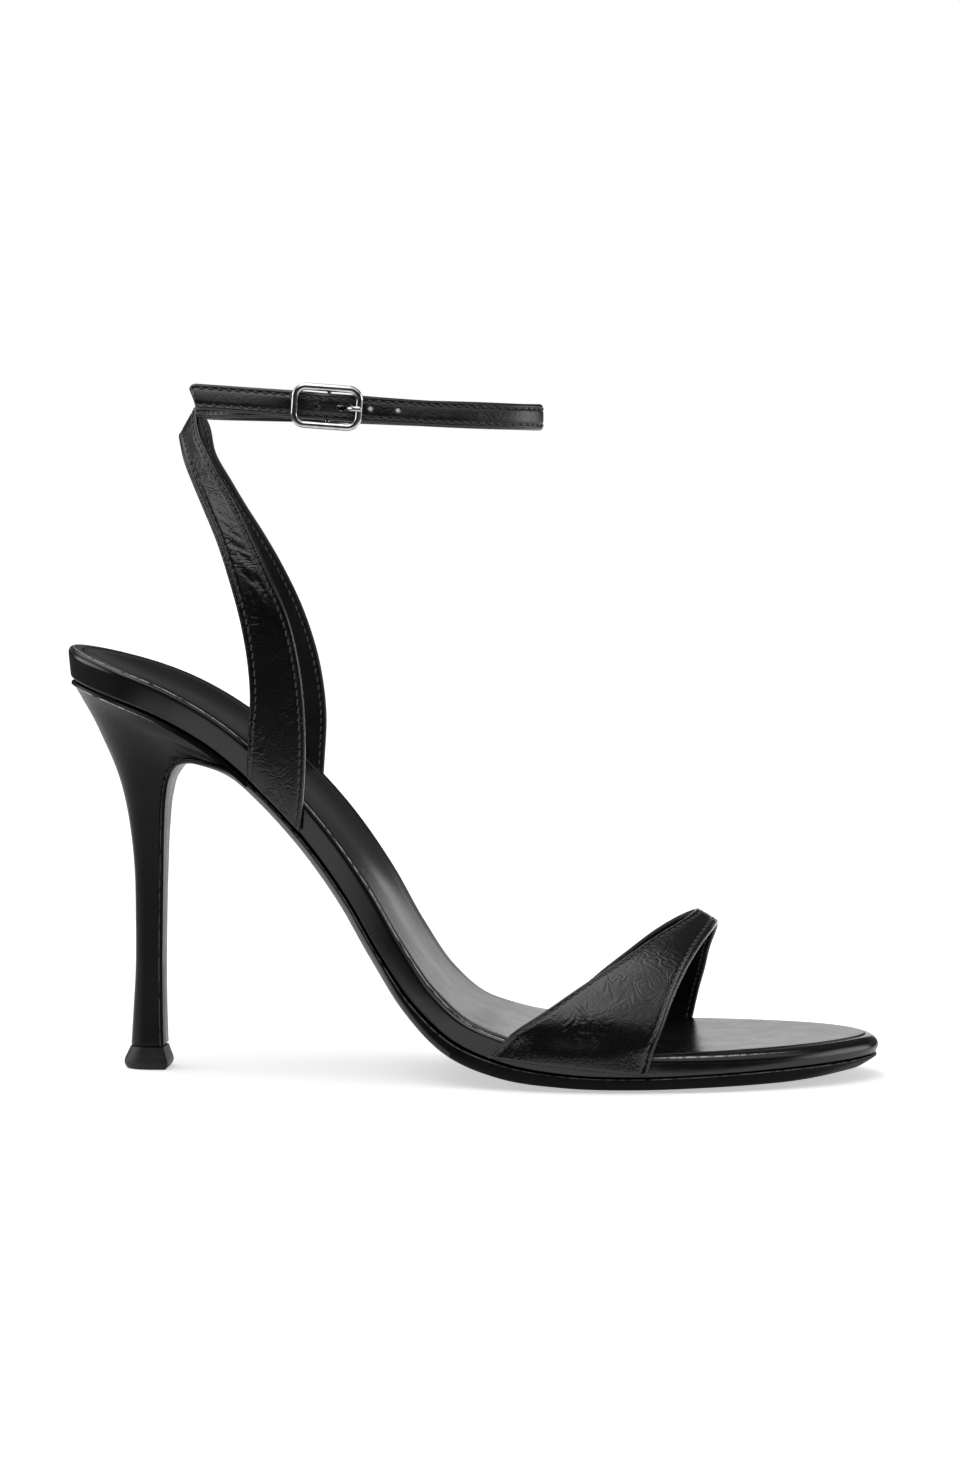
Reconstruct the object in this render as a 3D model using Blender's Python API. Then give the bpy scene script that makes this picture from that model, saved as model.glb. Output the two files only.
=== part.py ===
"""Ankle-strap stiletto sandal for the right foot, built as an assembly of separate solids.

Frame: metres, +Z up, +X towards the toe, +Y towards the inner side of the foot, origin on the floor
under the middle of the shoe's box. The sizes and tables below are in millimetres, with places along
the shoe measured from the back of the heel seat. make_solid turns them into metres.
"""

import math

import bmesh
import bpy
import numpy as np

MM = 0.001
SHIFT_X = -104.2
SHIFT_Y = 0.0
GAP = 0.3
WELD = 2e-6

# Sole: stations along its length, with points drawn together at both ends.
SOLE_STATIONS = 40
END_PULL = 0.55
AXIS_INSET_HEEL = 21.0
AXIS_INSET_TOE = 26.0
HEEL_LEAN = -0.07
HEEL_LEAN_RUN = 34.0

# Wrapped platform (rand) and the sock that lies in its bed.
RIM_RADIUS = 2.2
BED_INSET = 2.7
BED_DEPTH = 1.1
SOCK_GAP = 0.3
SOCK_RISE = 0.1

# Outsole.
OUTSOLE_INSET = 0.2
OUTSOLE_EDGE = 0.35
TREAD_SHARE = 0.62
FLAP_STATIONS = 26
FLAP_SHARE = 0.94

# Heel.
HEEL_SIDE_POINTS = 11
HEEL_ROWS = 30
SEAT_FRONT = 49.4
SEAT_BACK = 0.9
SEAT_INSET = 0.5

# Straps.
STRAP_WALL = 1.6
DOME_LOW = 14.0
STRAP_EDGE = 0.45
VAMP_COLUMNS = 7
VAMP_ROWS = 42
BACK_COLUMNS = 4
BACK_ROWS = 60
ANKLE_WIDTH = 6.8
ANKLE_ROWS = 76
TIP_SLANT = 0.9
TIP_ROUND = 1.6
HOLE_RADIUS = 0.75
PRONG_HOLE = (2.2, 1.0)
HOLE_PLACES = (67.3, 80.4, 87.3)
PRONG_HOLE_PLACE = 74.2

# Buckle.
BUCKLE_CENTRE = (69.4, -25.7, 171.6)
BUCKLE_LENGTH = 18.2
BUCKLE_HEIGHT = 11.4
BUCKLE_CORNER = 2.7
BUCKLE_WIRE = 1.5
BUCKLE_TILT = math.radians(4.2)
BAR_RADIUS = 0.6
BAR_SETBACK = 3.1
STRAP_EYE_WALL = 0.9
PRONG_RADIUS = 0.5
PRONG_EYE = 1.42
SLOT_HALF = 0.95

# One row for each station of the sole: name, place along, height of the platform's underside,
# lateral half width, medial half width, platform height, hollow of the foot bed, outsole thickness,
# rise of the platform's medial edge.
SOLE = (
    ("heel back", -0.4, 102.5, 0.0, 0.0, 8.7, 1.4, 2.2, 0.0),
    ("heel round", 4.0, 101.0, 14.6, 14.6, 8.4, 1.5, 2.2, 0.5),
    ("heel seat", 13.0, 98.0, 22.6, 22.4, 7.7, 1.6, 2.2, 1.1),
    ("seat front", 26.0, 92.8, 25.2, 24.9, 7.3, 1.6, 2.2, 1.5),
    ("breast", 39.0, 85.2, 25.2, 24.5, 7.0, 1.2, 2.2, 1.8),
    ("waist top", 51.0, 74.8, 24.4, 23.2, 6.7, 0.8, 2.2, 2.4),
    ("waist", 63.0, 61.8, 23.8, 22.1, 6.5, 0.6, 2.3, 2.9),
    ("arch", 73.5, 47.4, 23.9, 21.7, 6.4, 0.5, 2.4, 2.8),
    ("arch low", 82.5, 32.4, 25.2, 22.4, 6.4, 0.4, 2.6, 2.3),
    ("shank end", 91.5, 20.0, 28.0, 24.8, 6.4, 0.3, 3.1, 1.5),
    ("joint rear", 101.5, 11.6, 31.8, 28.4, 6.4, 0.3, 3.6, 0.7),
    ("joint", 114.0, 6.9, 35.6, 33.0, 6.3, 0.3, 3.6, 0.2),
    ("ball", 130.0, 4.5, 38.1, 37.0, 6.0, 0.4, 3.1, 0.0),
    ("tread", 148.0, 3.9, 37.6, 38.2, 5.6, 0.4, 2.9, 0.0),
    ("toe root", 165.0, 4.4, 35.0, 36.6, 5.3, 0.4, 3.0, 0.0),
    ("toes", 182.0, 5.1, 28.8, 31.4, 5.0, 0.3, 3.2, 0.0),
    ("toe", 195.0, 5.7, 21.4, 24.0, 4.8, 0.2, 3.2, 0.0),
    ("toe round", 204.0, 6.1, 12.6, 14.6, 4.7, 0.1, 3.0, 0.0),
    ("tip", 209.2, 6.4, 0.0, 0.0, 4.6, 0.0, 2.8, 0.0),
)

# One row for each section of the heel, from the floor end up: name, front place and height, back place
# and height, half width, bulge of the section plane, thickness of the outsole's flap on its front.
HEEL = (
    ("foot", 22.9, 6.1, 14.8, 6.1, 4.9, 0.0, 1.0),
    ("ankle", 22.7, 14.0, 15.3, 14.0, 4.5, 0.0, 1.0),
    ("stem low", 22.6, 26.0, 16.0, 26.0, 4.3, 0.0, 1.0),
    ("stem", 22.8, 40.0, 16.1, 40.0, 4.4, 0.0, 1.0),
    ("stem high", 23.1, 52.0, 15.9, 51.4, 4.9, 0.0, 1.0),
    ("flare", 23.5, 63.0, 15.0, 61.6, 5.9, 0.0, 1.0),
    ("flare high", 24.1, 71.4, 13.7, 69.6, 7.3, 0.1, 1.1),
    ("bend low", 25.5, 77.0, 12.2, 75.6, 9.0, 0.2, 1.1),
    ("bend", 28.2, 80.6, 10.4, 80.6, 11.2, 0.4, 1.2),
    ("bend top", 32.0, 81.9, 8.2, 85.6, 13.9, 0.8, 1.3),
    ("breast", 37.0, 81.4, 5.6, 91.2, 17.3, 1.4, 1.4),
    ("lip", 43.0, 79.6, 2.6, 96.6, 21.0, 1.9, 1.6),
)

# Heel tip sections: height, back place, front place, half width.
HEEL_TIP = (
    (0.0, 13.7, 24.3, 5.2),
    (0.5, 13.3, 24.7, 5.5),
    (4.4, 14.0, 24.3, 5.2),
    (5.75, 14.7, 23.9, 4.9),
)

# Rows of the vamp strap that hug the rand: rear place and height, front place and height.
VAMP_LATERAL_FOOT = (
    (110.8, 8.4, 151.0, 4.5),
    (113.4, 11.2, 152.0, 8.0),
)
VAMP_MEDIAL_FOOT = (
    (124.2, 9.0, 159.9, 8.0),
    (122.6, 5.9, 159.6, 4.8),
)
# Free rows of the vamp strap from the lateral to the medial side: rear point, front point, bulge.
VAMP = (
    ("lateral rim", 117.0, -36.9, 14.8, 153.0, -38.3, 11.6, 1.7),
    ("lateral wall", 124.2, -36.8, 19.6, 154.9, -37.0, 16.6, 1.7),
    ("lateral turn", 131.8, -33.8, 24.6, 157.0, -33.4, 22.6, 1.3),
    ("lateral slope", 143.0, -25.4, 31.4, 160.0, -26.0, 29.2, 0.8),
    ("lateral crown", 152.5, -14.5, 37.0, 163.6, -15.5, 34.8, 0.4),
    ("crown side", 159.2, -4.5, 40.9, 166.6, -5.0, 38.2, 0.3),
    ("crown", 160.8, 3.0, 42.1, 167.4, 3.0, 39.2, 0.3),
    ("medial crown", 157.6, 9.5, 40.0, 166.3, 10.5, 36.8, 0.3),
    ("medial slope", 151.0, 17.5, 35.2, 165.2, 20.0, 30.6, 0.5),
    ("medial turn", 143.0, 26.0, 28.4, 163.6, 28.4, 23.8, 0.8),
    ("medial wall", 134.0, 33.0, 20.6, 161.9, 34.4, 17.4, 1.2),
    ("medial rim", 127.6, 36.2, 14.4, 160.7, 37.6, 12.0, 1.4),
)

# Rows of the back strap that hug the rand, and its free rows from the lateral foot to the medial one.
BACK_LATERAL_FOOT = (
    (48.7, 77.9, 62.1, 63.8),
    (48.9, 83.2, 62.9, 69.6),
)
BACK_MEDIAL_FOOT = (
    (48.9, 83.2, 62.3, 70.2),
    (48.7, 77.9, 61.5, 64.4),
)
BACK = (
    ("lateral rim", 49.2, -26.1, 90.0, 63.7, -25.8, 79.6),
    ("lateral low", 49.7, -26.3, 98.0, 63.8, -26.2, 91.0),
    ("lateral leg", 49.1, -26.3, 107.0, 62.8, -26.3, 104.0),
    ("lateral mid", 47.4, -26.1, 117.5, 59.8, -26.1, 117.8),
    ("lateral bend", 44.6, -25.2, 128.0, 54.4, -25.4, 129.2),
    ("lateral high", 41.1, -23.2, 137.6, 49.4, -23.4, 138.6),
    ("lateral turn", 37.7, -19.8, 145.4, 45.2, -20.2, 146.6),
    ("lateral shoulder", 34.4, -15.4, 151.8, 41.2, -16.2, 153.2),
    ("lateral top", 31.4, -10.6, 157.4, 37.6, -11.5, 159.4),
    ("lateral back", 29.3, -5.3, 161.8, 34.4, -6.0, 166.2),
    ("centre back", 28.5, 0.0, 163.9, 33.1, 0.0, 172.0),
    ("medial back", 29.3, 5.3, 161.8, 35.4, 6.6, 167.4),
    ("medial top", 30.7, 10.6, 157.4, 35.7, 11.5, 160.2),
    ("medial shoulder", 32.9, 15.4, 151.8, 38.1, 16.2, 153.0),
    ("medial turn", 35.9, 19.6, 145.4, 41.8, 20.0, 146.4),
    ("medial high", 39.2, 22.8, 137.6, 46.0, 23.0, 138.4),
    ("medial bend", 42.8, 24.8, 128.0, 51.2, 25.0, 129.2),
    ("medial mid", 46.0, 25.4, 117.5, 57.5, 25.4, 117.8),
    ("medial leg", 48.3, 25.4, 107.0, 61.4, 25.2, 104.0),
    ("medial low", 49.3, 25.2, 98.0, 63.0, 24.8, 91.0),
    ("medial rim", 49.2, 24.8, 90.0, 63.0, 24.2, 80.0),
)

# Middle line of the ankle strap from the buckle's bar round the ankle to the free tip.
ANKLE = (
    ("bar end", 68.2, -21.9, 171.8),
    ("under the tip", 57.0, -21.8, 172.2),
    ("lateral back", 46.0, -19.4, 172.3),
    ("back turn in", 38.6, -13.4, 172.3),
    ("back", 33.8, 0.0, 172.2),
    ("back turn out", 38.6, 13.4, 172.0),
    ("medial back", 49.0, 20.8, 171.8),
    ("medial", 66.0, 23.0, 171.4),
    ("medial front", 86.0, 21.2, 170.6),
    ("front turn in", 106.0, 15.0, 169.9),
    ("fold in", 118.0, 7.2, 169.3),
    ("fold", 121.4, 0.2, 169.2),
    ("fold out", 118.2, -6.8, 169.2),
    ("lateral front", 108.0, -13.8, 169.4),
    ("holes", 94.0, -19.6, 170.0),
    ("before the frame", 83.0, -22.6, 170.7),
    ("under the frame", 77.4, -23.6, 171.1),
    ("over the bar", 69.2, -25.7, 171.7),
    ("behind the frame", 61.2, -23.8, 172.4),
    ("free end", 49.0, -23.8, 173.3),
    ("tip", 35.0, -24.2, 174.3),
)

# Finish of each solid: colour, metallic, roughness.
FINISHES = {
    "outsole": ((0.020, 0.020, 0.021), 0.0, 0.45),
    "rand": ((0.022, 0.022, 0.023), 0.0, 0.40),
    "insole": ((0.035, 0.034, 0.034), 0.0, 0.50),
    "heel": ((0.022, 0.022, 0.023), 0.0, 0.38),
    "heel_tip": ((0.025, 0.025, 0.025), 0.0, 0.55),
    "vamp_strap": ((0.018, 0.018, 0.019), 0.0, 0.40),
    "ankle_straps": ((0.018, 0.018, 0.019), 0.0, 0.40),
    "buckle_frame": ((0.78, 0.78, 0.79), 1.0, 0.12),
    "buckle_prong": ((0.78, 0.78, 0.79), 1.0, 0.12),
}


def through(knots, values, at):
    """Smooth curve through table rows: cubic pieces with three-point slopes at the knots."""
    knots = np.asarray(knots, float)
    values = np.asarray(values, float).reshape(len(knots), -1)
    at = np.asarray(at, float)
    step = np.diff(knots)
    rise = np.diff(values, axis=0) / step[:, None]
    slope = np.empty_like(values)
    ahead = (step[:-1] / (step[:-1] + step[1:]))[:, None]
    slope[1:-1] = rise[:-1] * (1.0 - ahead) + rise[1:] * ahead
    slope[0] = 1.5 * rise[0] - 0.5 * slope[1]
    slope[-1] = 1.5 * rise[-1] - 0.5 * slope[-2]
    i = np.clip(np.searchsorted(knots, at) - 1, 0, len(step) - 1)
    h = step[i][:, None]
    t = ((at - knots[i]) / step[i])[:, None]
    a = values[i] * (1 + 2 * t) * (1 - t) ** 2 + slope[i] * h * t * (1 - t) ** 2
    b = values[i + 1] * t**2 * (3 - 2 * t) + slope[i + 1] * h * t**2 * (t - 1)
    return a + b


def chord_knots(points):
    """Running distance along a list of points."""
    points = np.asarray(points, float)
    return np.concatenate([[0.0], np.cumsum(np.linalg.norm(np.diff(points, axis=0), axis=1))])


def unit(vectors):
    """The vectors at length one."""
    return vectors / np.linalg.norm(vectors, axis=-1, keepdims=True)


class Spine:
    """A side-view curve with its length, direction and upward normal at each place on it."""

    def __init__(self, points, lean=0.0, lean_run=1.0, samples=1600):
        """Samples a smooth curve finely. Its normals start upright, leaning back, over the run given."""
        self.lean, self.lean_run = lean, lean_run
        knots = chord_knots(points)
        self.fine = through(knots, points, np.linspace(0.0, knots[-1], samples))
        self.run = chord_knots(self.fine)
        self.length = float(self.run[-1])
        self.heading = unit(np.gradient(self.fine, self.run, axis=0))

    def at(self, s):
        """Point (x, z) at distance s."""
        return np.stack([np.interp(s, self.run, self.fine[:, k]) for k in (0, 1)], -1)

    def normal(self, s):
        """Upward normal (x, z) at distance s, for a curve that runs towards the toe."""
        t = unit(np.stack([np.interp(s, self.run, self.heading[:, k]) for k in (0, 1)], -1))
        square = np.stack([-t[..., 1], t[..., 0]], -1)
        if self.lean == 0.0:
            return square
        share = np.clip(np.asarray(s, float) / self.lean_run, 0.0, 1.0)[..., None]
        share = share * share * (3.0 - 2.0 * share)
        return unit(share * square + (1.0 - share) * np.array([self.lean, 1.0]))

    def place(self, x, z):
        """Distance along the curve of the point on it nearest to (x, z)."""
        x, z = np.atleast_1d(x), np.atleast_1d(z)
        off = (self.fine[None, :, 0] - x[:, None]) ** 2 + (self.fine[None, :, 1] - z[:, None]) ** 2
        return self.run[np.argmin(off, axis=1)]

    def lift(self, s, y, n):
        """Points in space from distance along, sideways place and height above the curve."""
        p = self.at(s) + self.normal(s) * np.asarray(n)[..., None]
        return np.stack([p[..., 0], np.broadcast_to(y, p[..., 0].shape), p[..., 1]], -1)


SOLE_SPINE = Spine([row[1:3] for row in SOLE], HEEL_LEAN, HEEL_LEAN_RUN)
SOLE_PLACES = SOLE_SPINE.place([row[1] for row in SOLE], [row[2] for row in SOLE])


def sole_column(column, s):
    """One column of the sole table at distance s."""
    return through(SOLE_PLACES, [row[column] for row in SOLE], s)[:, 0]


def half_width(column, s):
    """Half width at distance s. Its square is carried through the rows, so both ends close round."""
    square = through(SOLE_PLACES, [row[column] ** 2 for row in SOLE], s)[:, 0]
    return np.sqrt(np.maximum(square, 0.0))


def sole_stations():
    """Distances along the sole, drawn together at the heel and the toe."""
    u = np.linspace(0.0, 1.0, SOLE_STATIONS + 1)
    pulled = 0.5 - 0.5 * np.cos(math.pi * u)
    return SOLE_SPINE.length * ((1.0 - END_PULL) * u + END_PULL * pulled)


def outward(outline):
    """Outward normals of a closed outline that runs round with its inside on the left."""
    along = unit(np.roll(outline, -1, axis=0) - np.roll(outline, 1, axis=0))
    return np.stack([along[:, 1], -along[:, 0]], -1)


def sole_outline(stations, lateral, medial, tip):
    """Closed outline in (distance, sideways) from the rear, up the lateral side and back."""
    low = np.stack([stations, -lateral], -1)
    high = np.stack([stations, medial], -1)[::-1]
    return np.concatenate([low, tip, high])


def axis_of(outline, start, end):
    """Middle-line point that each outline point draws in to."""
    s = np.clip(outline[:, 0], start, end)
    y = 0.5 * (half_width(4, s) - half_width(3, s))
    return np.stack([s, y], -1)


def ring_points(outline, axis, rings, spine):
    """Stacks rings of an outline into space. Each ring is (how, amount, height at (distance, sideways))."""
    normals = outward(outline)
    stacked = []
    for how, amount, height in rings:
        if how == "inset":
            flat = outline - normals * np.broadcast_to(amount, len(outline))[:, None]
        else:
            flat = axis + (outline - axis) * amount
        stacked.append(spine.lift(flat[:, 0], flat[:, 1], height(flat[:, 0], flat[:, 1])))
    return np.array(stacked)


def grid_faces(rows, columns, closed=True):
    """Quads between neighbouring rows of points."""
    faces = []
    for r in range(rows - 1):
        for c in range(columns if closed else columns - 1):
            d = (c + 1) % columns
            faces.append((r * columns + c, r * columns + d, (r + 1) * columns + d, (r + 1) * columns + c))
    return faces


def finish_material(name):
    """Plain material of one solid."""
    colour, metallic, roughness = FINISHES[name]
    material = bpy.data.materials.new(name)
    material.use_nodes = True
    shader = material.node_tree.nodes["Principled BSDF"]
    shader.inputs["Base Color"].default_value = (*colour, 1.0)
    shader.inputs["Metallic"].default_value = metallic
    shader.inputs["Roughness"].default_value = roughness
    return material


def make_mesh(name, points, faces):
    """Welded, triangulated mesh object with its faces turned out. Points are in millimetres."""
    points = (np.asarray(points).reshape(-1, 3) + (SHIFT_X, SHIFT_Y, 0.0)) * MM
    mesh = bpy.data.meshes.new(name)
    mesh.from_pydata(points.tolist(), [], faces)
    shaped = bmesh.new()
    shaped.from_mesh(mesh)
    bmesh.ops.remove_doubles(shaped, verts=shaped.verts, dist=WELD)
    bmesh.ops.dissolve_degenerate(shaped, edges=shaped.edges, dist=WELD)
    bmesh.ops.triangulate(shaped, faces=shaped.faces)
    bmesh.ops.recalc_face_normals(shaped, faces=shaped.faces)
    shaped.to_mesh(mesh)
    shaped.free()
    obj = bpy.data.objects.new(name, mesh)
    bpy.context.scene.collection.objects.link(obj)
    return obj


def make_solid(name, points, faces):
    """One named piece of the shoe."""
    obj = make_mesh(name, points, faces)
    obj.data.materials.append(finish_material(name))
    return obj


def make_helper(name, points, faces):
    """A shape that only cuts or joins another one."""
    obj = make_mesh(name, points, faces)
    obj.hide_render = True
    obj.display_type = "WIRE"
    return obj


def combine(obj, other, operation):
    """Exact Boolean of two meshes."""
    modifier = obj.modifiers.new(operation.lower() + "_" + other.name, "BOOLEAN")
    modifier.operation = operation
    modifier.solver = "EXACT"
    modifier.object = other


def flat_underside(s, y):
    """Height of the platform's underside."""
    return np.zeros_like(s)


def rim(s, y):
    """Height of the platform's rim. It rises towards its medial edge at the arch."""
    middle = 0.5 * (half_width(4, s) - half_width(3, s))
    share = np.clip((y - middle) / np.maximum(half_width(4, s) - middle, 5.0), 0.0, 1.0)
    return sole_column(5, s) + sole_column(8, s) * share**2


def bed(s, y, hollow):
    """Height of the bed that the sock lies in, with a share of its hollow."""
    return rim(s, y) - BED_DEPTH - hollow * sole_column(6, s)


def make_rand():
    """Wrapped platform: flat underside, upright wall, rounded rim and a bed for the sock."""
    stations = sole_stations()[1:-1]
    tip = [[SOLE_SPINE.length, 0.0]]
    outline = sole_outline(stations, half_width(3, stations), half_width(4, stations), tip)
    outline = np.concatenate([[[0.0, 0.0]], outline])
    axis = axis_of(outline, AXIS_INSET_HEEL, SOLE_SPINE.length - AXIS_INSET_TOE)
    rings = (
        ("share", 0.0, flat_underside),
        ("inset", 0.5, flat_underside),
        ("inset", 0.0, lambda s, y: np.full_like(s, 0.5)),
        ("inset", 0.0, lambda s, y: rim(s, y) - RIM_RADIUS),
        ("inset", 0.3 * RIM_RADIUS, lambda s, y: rim(s, y) - 0.3 * RIM_RADIUS),
        ("inset", RIM_RADIUS, rim),
        ("inset", BED_INSET - 0.1, lambda s, y: rim(s, y) - 0.1),
        ("inset", BED_INSET, lambda s, y: rim(s, y) - BED_DEPTH),
        ("share", 0.5, lambda s, y: bed(s, y, 0.75)),
        ("share", 0.0, lambda s, y: bed(s, y, 1.0)),
    )
    points = ring_points(outline, axis, rings, SOLE_SPINE)
    make_solid("rand", points, grid_faces(len(rings), len(outline)))
    inner = BED_INSET + SOCK_GAP
    thick = BED_DEPTH + SOCK_RISE
    rings = (
        ("share", 0.0, lambda s, y: bed(s, y, 1.0) + GAP),
        ("share", 0.5, lambda s, y: bed(s, y, 0.75) + GAP),
        ("inset", inner, lambda s, y: bed(s, y, 0.0) + GAP),
        ("inset", inner, lambda s, y: bed(s, y, 0.0) + thick - 0.35),
        ("inset", inner + 0.5, lambda s, y: bed(s, y, 0.0) + thick),
        ("share", 0.5, lambda s, y: bed(s, y, 0.75) + thick),
        ("share", 0.0, lambda s, y: bed(s, y, 1.0) + thick),
    )
    points = ring_points(outline, axis, rings, SOLE_SPINE)
    make_solid("insole", points, grid_faces(len(rings), len(outline)))


def flap_curve():
    """Top line of the outsole: up the heel's front, round the bend and on under the sole to the toe."""
    flap = np.array([row[1:3] for row in HEEL])
    stations = sole_stations()
    under = stations[SOLE_SPINE.at(stations)[:, 0] > SEAT_FRONT + 2.0]
    sole = SOLE_SPINE.at(under) - SOLE_SPINE.normal(under) * GAP
    return Spine(np.concatenate([flap, sole])), under


OUTSOLE_SPINE, OUTSOLE_UNDER = flap_curve()


def make_outsole():
    """Sole with a rounded edge, a flat tread on the floor and a thin flap down the heel's front."""
    front = np.array([row[1:3] for row in HEEL])
    rows = OUTSOLE_SPINE.place(front[:, 0], front[:, 1])
    sole = SOLE_SPINE.at(OUTSOLE_UNDER) - SOLE_SPINE.normal(OUTSOLE_UNDER) * GAP
    under = OUTSOLE_SPINE.place(sole[:, 0], sole[:, 1])
    knots = np.concatenate([rows, under])
    flap_half = [FLAP_SHARE * row[5] for row in HEEL]
    lateral = np.concatenate([flap_half, half_width(3, OUTSOLE_UNDER) - OUTSOLE_INSET])
    medial = np.concatenate([flap_half, half_width(4, OUTSOLE_UNDER) - OUTSOLE_INSET])
    thick = np.concatenate([[row[7] for row in HEEL], sole_column(7, OUTSOLE_UNDER)])
    flap = np.linspace(0.0, rows[-1], FLAP_STATIONS)
    stations = np.concatenate([flap, under[under > rows[-1] + 2.0]])[:-1]
    side = np.sqrt(np.maximum(through(knots, np.maximum(lateral, 0.0) ** 2, stations)[:, 0], 0.01))
    inside = np.sqrt(np.maximum(through(knots, np.maximum(medial, 0.0) ** 2, stations)[:, 0], 0.01))
    outline = sole_outline(stations, side, inside, [[OUTSOLE_SPINE.length - OUTSOLE_INSET, 0.0]])
    s = np.clip(outline[:, 0], 1.5, OUTSOLE_SPINE.length - AXIS_INSET_TOE)
    middle = 0.5 * (np.interp(s, stations, inside) - np.interp(s, stations, side))
    axis = np.stack([s, middle], -1)

    def depth(share):
        """Height below the top line as a share of the thickness."""
        return lambda s, y: -share * through(knots, thick, s)[:, 0]

    edge = through(knots, thick, outline[:, 0])[:, 0]
    rings = (
        ("share", 0.0, depth(0.0)),
        ("inset", 0.15 * edge, depth(0.0)),
        ("inset", 0.0, depth(0.15)),
        ("inset", 0.0, depth(0.65)),
        ("inset", OUTSOLE_EDGE * edge, depth(1.0)),
        ("share", TREAD_SHARE, depth(1.28)),
        ("share", 0.0, depth(1.35)),
    )
    points = ring_points(outline, axis, rings, OUTSOLE_SPINE)
    points[..., 2] = np.maximum(points[..., 2], 0.0)
    make_solid("outsole", points, grid_faces(len(rings), len(outline)))


def d_shape(share):
    """Half width of a heel section over its length: round behind, nearly straight to the front."""
    share = np.asarray(share, float)
    rising = np.clip(share / 0.6, 0.0, 1.0)
    easing = np.clip((share - 0.6) / 0.4, 0.0, 1.0)
    return np.sqrt(np.maximum(1.0 - (1.0 - rising) ** 2, 0.0)) - (1.0 - FLAP_SHARE) * easing**2


def side_shares():
    """Shares along a section from its back to its front, drawn together at the back."""
    u = np.linspace(0.0, 1.0, HEEL_SIDE_POINTS)
    return u**1.6


def heel_faces(rows, sides):
    """Faces of a stack of open sections (front corner, round the back, front corner) with both ends closed."""
    columns = 2 * sides - 1
    faces = grid_faces(rows, columns)
    for base in (0, (rows - 1) * columns):
        for k in range(sides - 1):
            a, b = base + k, base + k + 1
            c, d = base + columns - 2 - k, base + columns - 1 - k
            faces.append((a, b, c, d) if b != c else (a, b, d))
    return faces


def make_heel():
    """Covered heel: sections carried from the tip up the stem to the curved seat under the sole."""
    share = side_shares()
    table = np.array([row[1:7] for row in HEEL])
    seat_end = float(SOLE_SPINE.place(SEAT_FRONT, np.interp(SEAT_FRONT, *SOLE_SPINE.fine.T))[0])
    along = SEAT_BACK + (seat_end - SEAT_BACK) * share
    seat_rows = SOLE_SPINE.at(along) - SOLE_SPINE.normal(along) * GAP
    front_knots = OUTSOLE_SPINE.place(table[:, 0], table[:, 1])
    seat_front = float(OUTSOLE_SPINE.place(*seat_rows[-1])[0])
    knots = np.concatenate([front_knots, [seat_front]])
    levels = np.interp(np.linspace(0, len(knots) - 1, HEEL_ROWS), np.arange(len(knots)), knots)
    lines, widths = [], []
    for row in table:
        chord = np.array([row[2] - row[0], row[3] - row[1]])
        rise = unit(np.array([chord[1], -chord[0]]))
        back = np.array([row[2], row[3]])
        bulge = 4.0 * share * (1.0 - share) * row[5]
        lines.append(back - share[:, None] * chord + rise * bulge[:, None])
        widths.append(np.stack([row[4] * d_shape(share)] * 2, -1))
    lines.append(seat_rows)
    inset = SEAT_INSET * np.minimum(1.0, share * 8.0)
    seat = [np.maximum(half_width(column, along) - inset, 0.0) for column in (3, 4)]
    seat[0][0] = seat[1][0] = 0.0
    widths.append(np.stack(seat, -1))
    lines = through(knots, np.array(lines).reshape(len(knots), -1), levels).reshape(HEEL_ROWS, -1, 2)
    widths = through(knots, np.array(widths).reshape(len(knots), -1), levels).reshape(HEEL_ROWS, -1, 2)
    front = OUTSOLE_SPINE.at(levels) + OUTSOLE_SPINE.normal(levels) * GAP
    front[-1] = lines[-1, -1]
    lines = lines + share[None, :, None] ** 3 * (front - lines[:, -1])[:, None, :]
    lateral = np.stack([lines[..., 0], -widths[..., 0], lines[..., 1]], -1)[:, ::-1]
    medial = np.stack([lines[..., 0], widths[..., 1], lines[..., 1]], -1)[:, 1:]
    points = np.concatenate([lateral, medial], axis=1)
    make_solid("heel", points, heel_faces(HEEL_ROWS, HEEL_SIDE_POINTS))


def make_heel_tip():
    """Top piece: a short D-shaped block with a flat floor face."""
    share = side_shares()
    points = []
    for height, back, front, half in HEEL_TIP:
        x = back + (front - back) * share
        y = half * d_shape(share)
        z = np.full_like(x, height)
        lateral = np.stack([x, -y, z], -1)[::-1]
        medial = np.stack([x, y, z], -1)[1:]
        points.append(np.concatenate([lateral, medial]))
    make_solid("heel_tip", np.array(points), heel_faces(len(HEEL_TIP), HEEL_SIDE_POINTS))


def on_rand(row, across, side):
    """Points of a strap row that hugs the rand's wall on one side (-1 lateral, 1 medial)."""
    x = row[0] + (row[2] - row[0]) * across
    z = row[1] + (row[3] - row[1]) * across
    s = SOLE_SPINE.place(x, z)
    foot = SOLE_SPINE.at(s)
    normal = SOLE_SPINE.normal(s)
    height = (x - foot[:, 0]) * normal[:, 0] + (z - foot[:, 1]) * normal[:, 1]
    floor = np.maximum(GAP + 0.1 - height, 0.0)
    x, z = x + normal[:, 0] * floor, z + normal[:, 1] * floor
    y = side * (half_width(3 if side < 0 else 4, s) + GAP + 0.5 * STRAP_WALL)
    return np.stack([x, y, z], -1)


def free_row(row, across):
    """Points of a strap row from its rear point to its front point, bowed out by its bulge."""
    rear, front = np.array(row[1:4]), np.array(row[4:7])
    line = rear + (front - rear) * across[:, None]
    if len(row) < 8:
        return line
    away = unit(np.array([0.0, 0.5 * (rear[1] + front[1]), 0.5 * (rear[2] + front[2]) - DOME_LOW]))
    return line + away * (4.0 * across * (1.0 - across) * row[7])[:, None]


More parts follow.
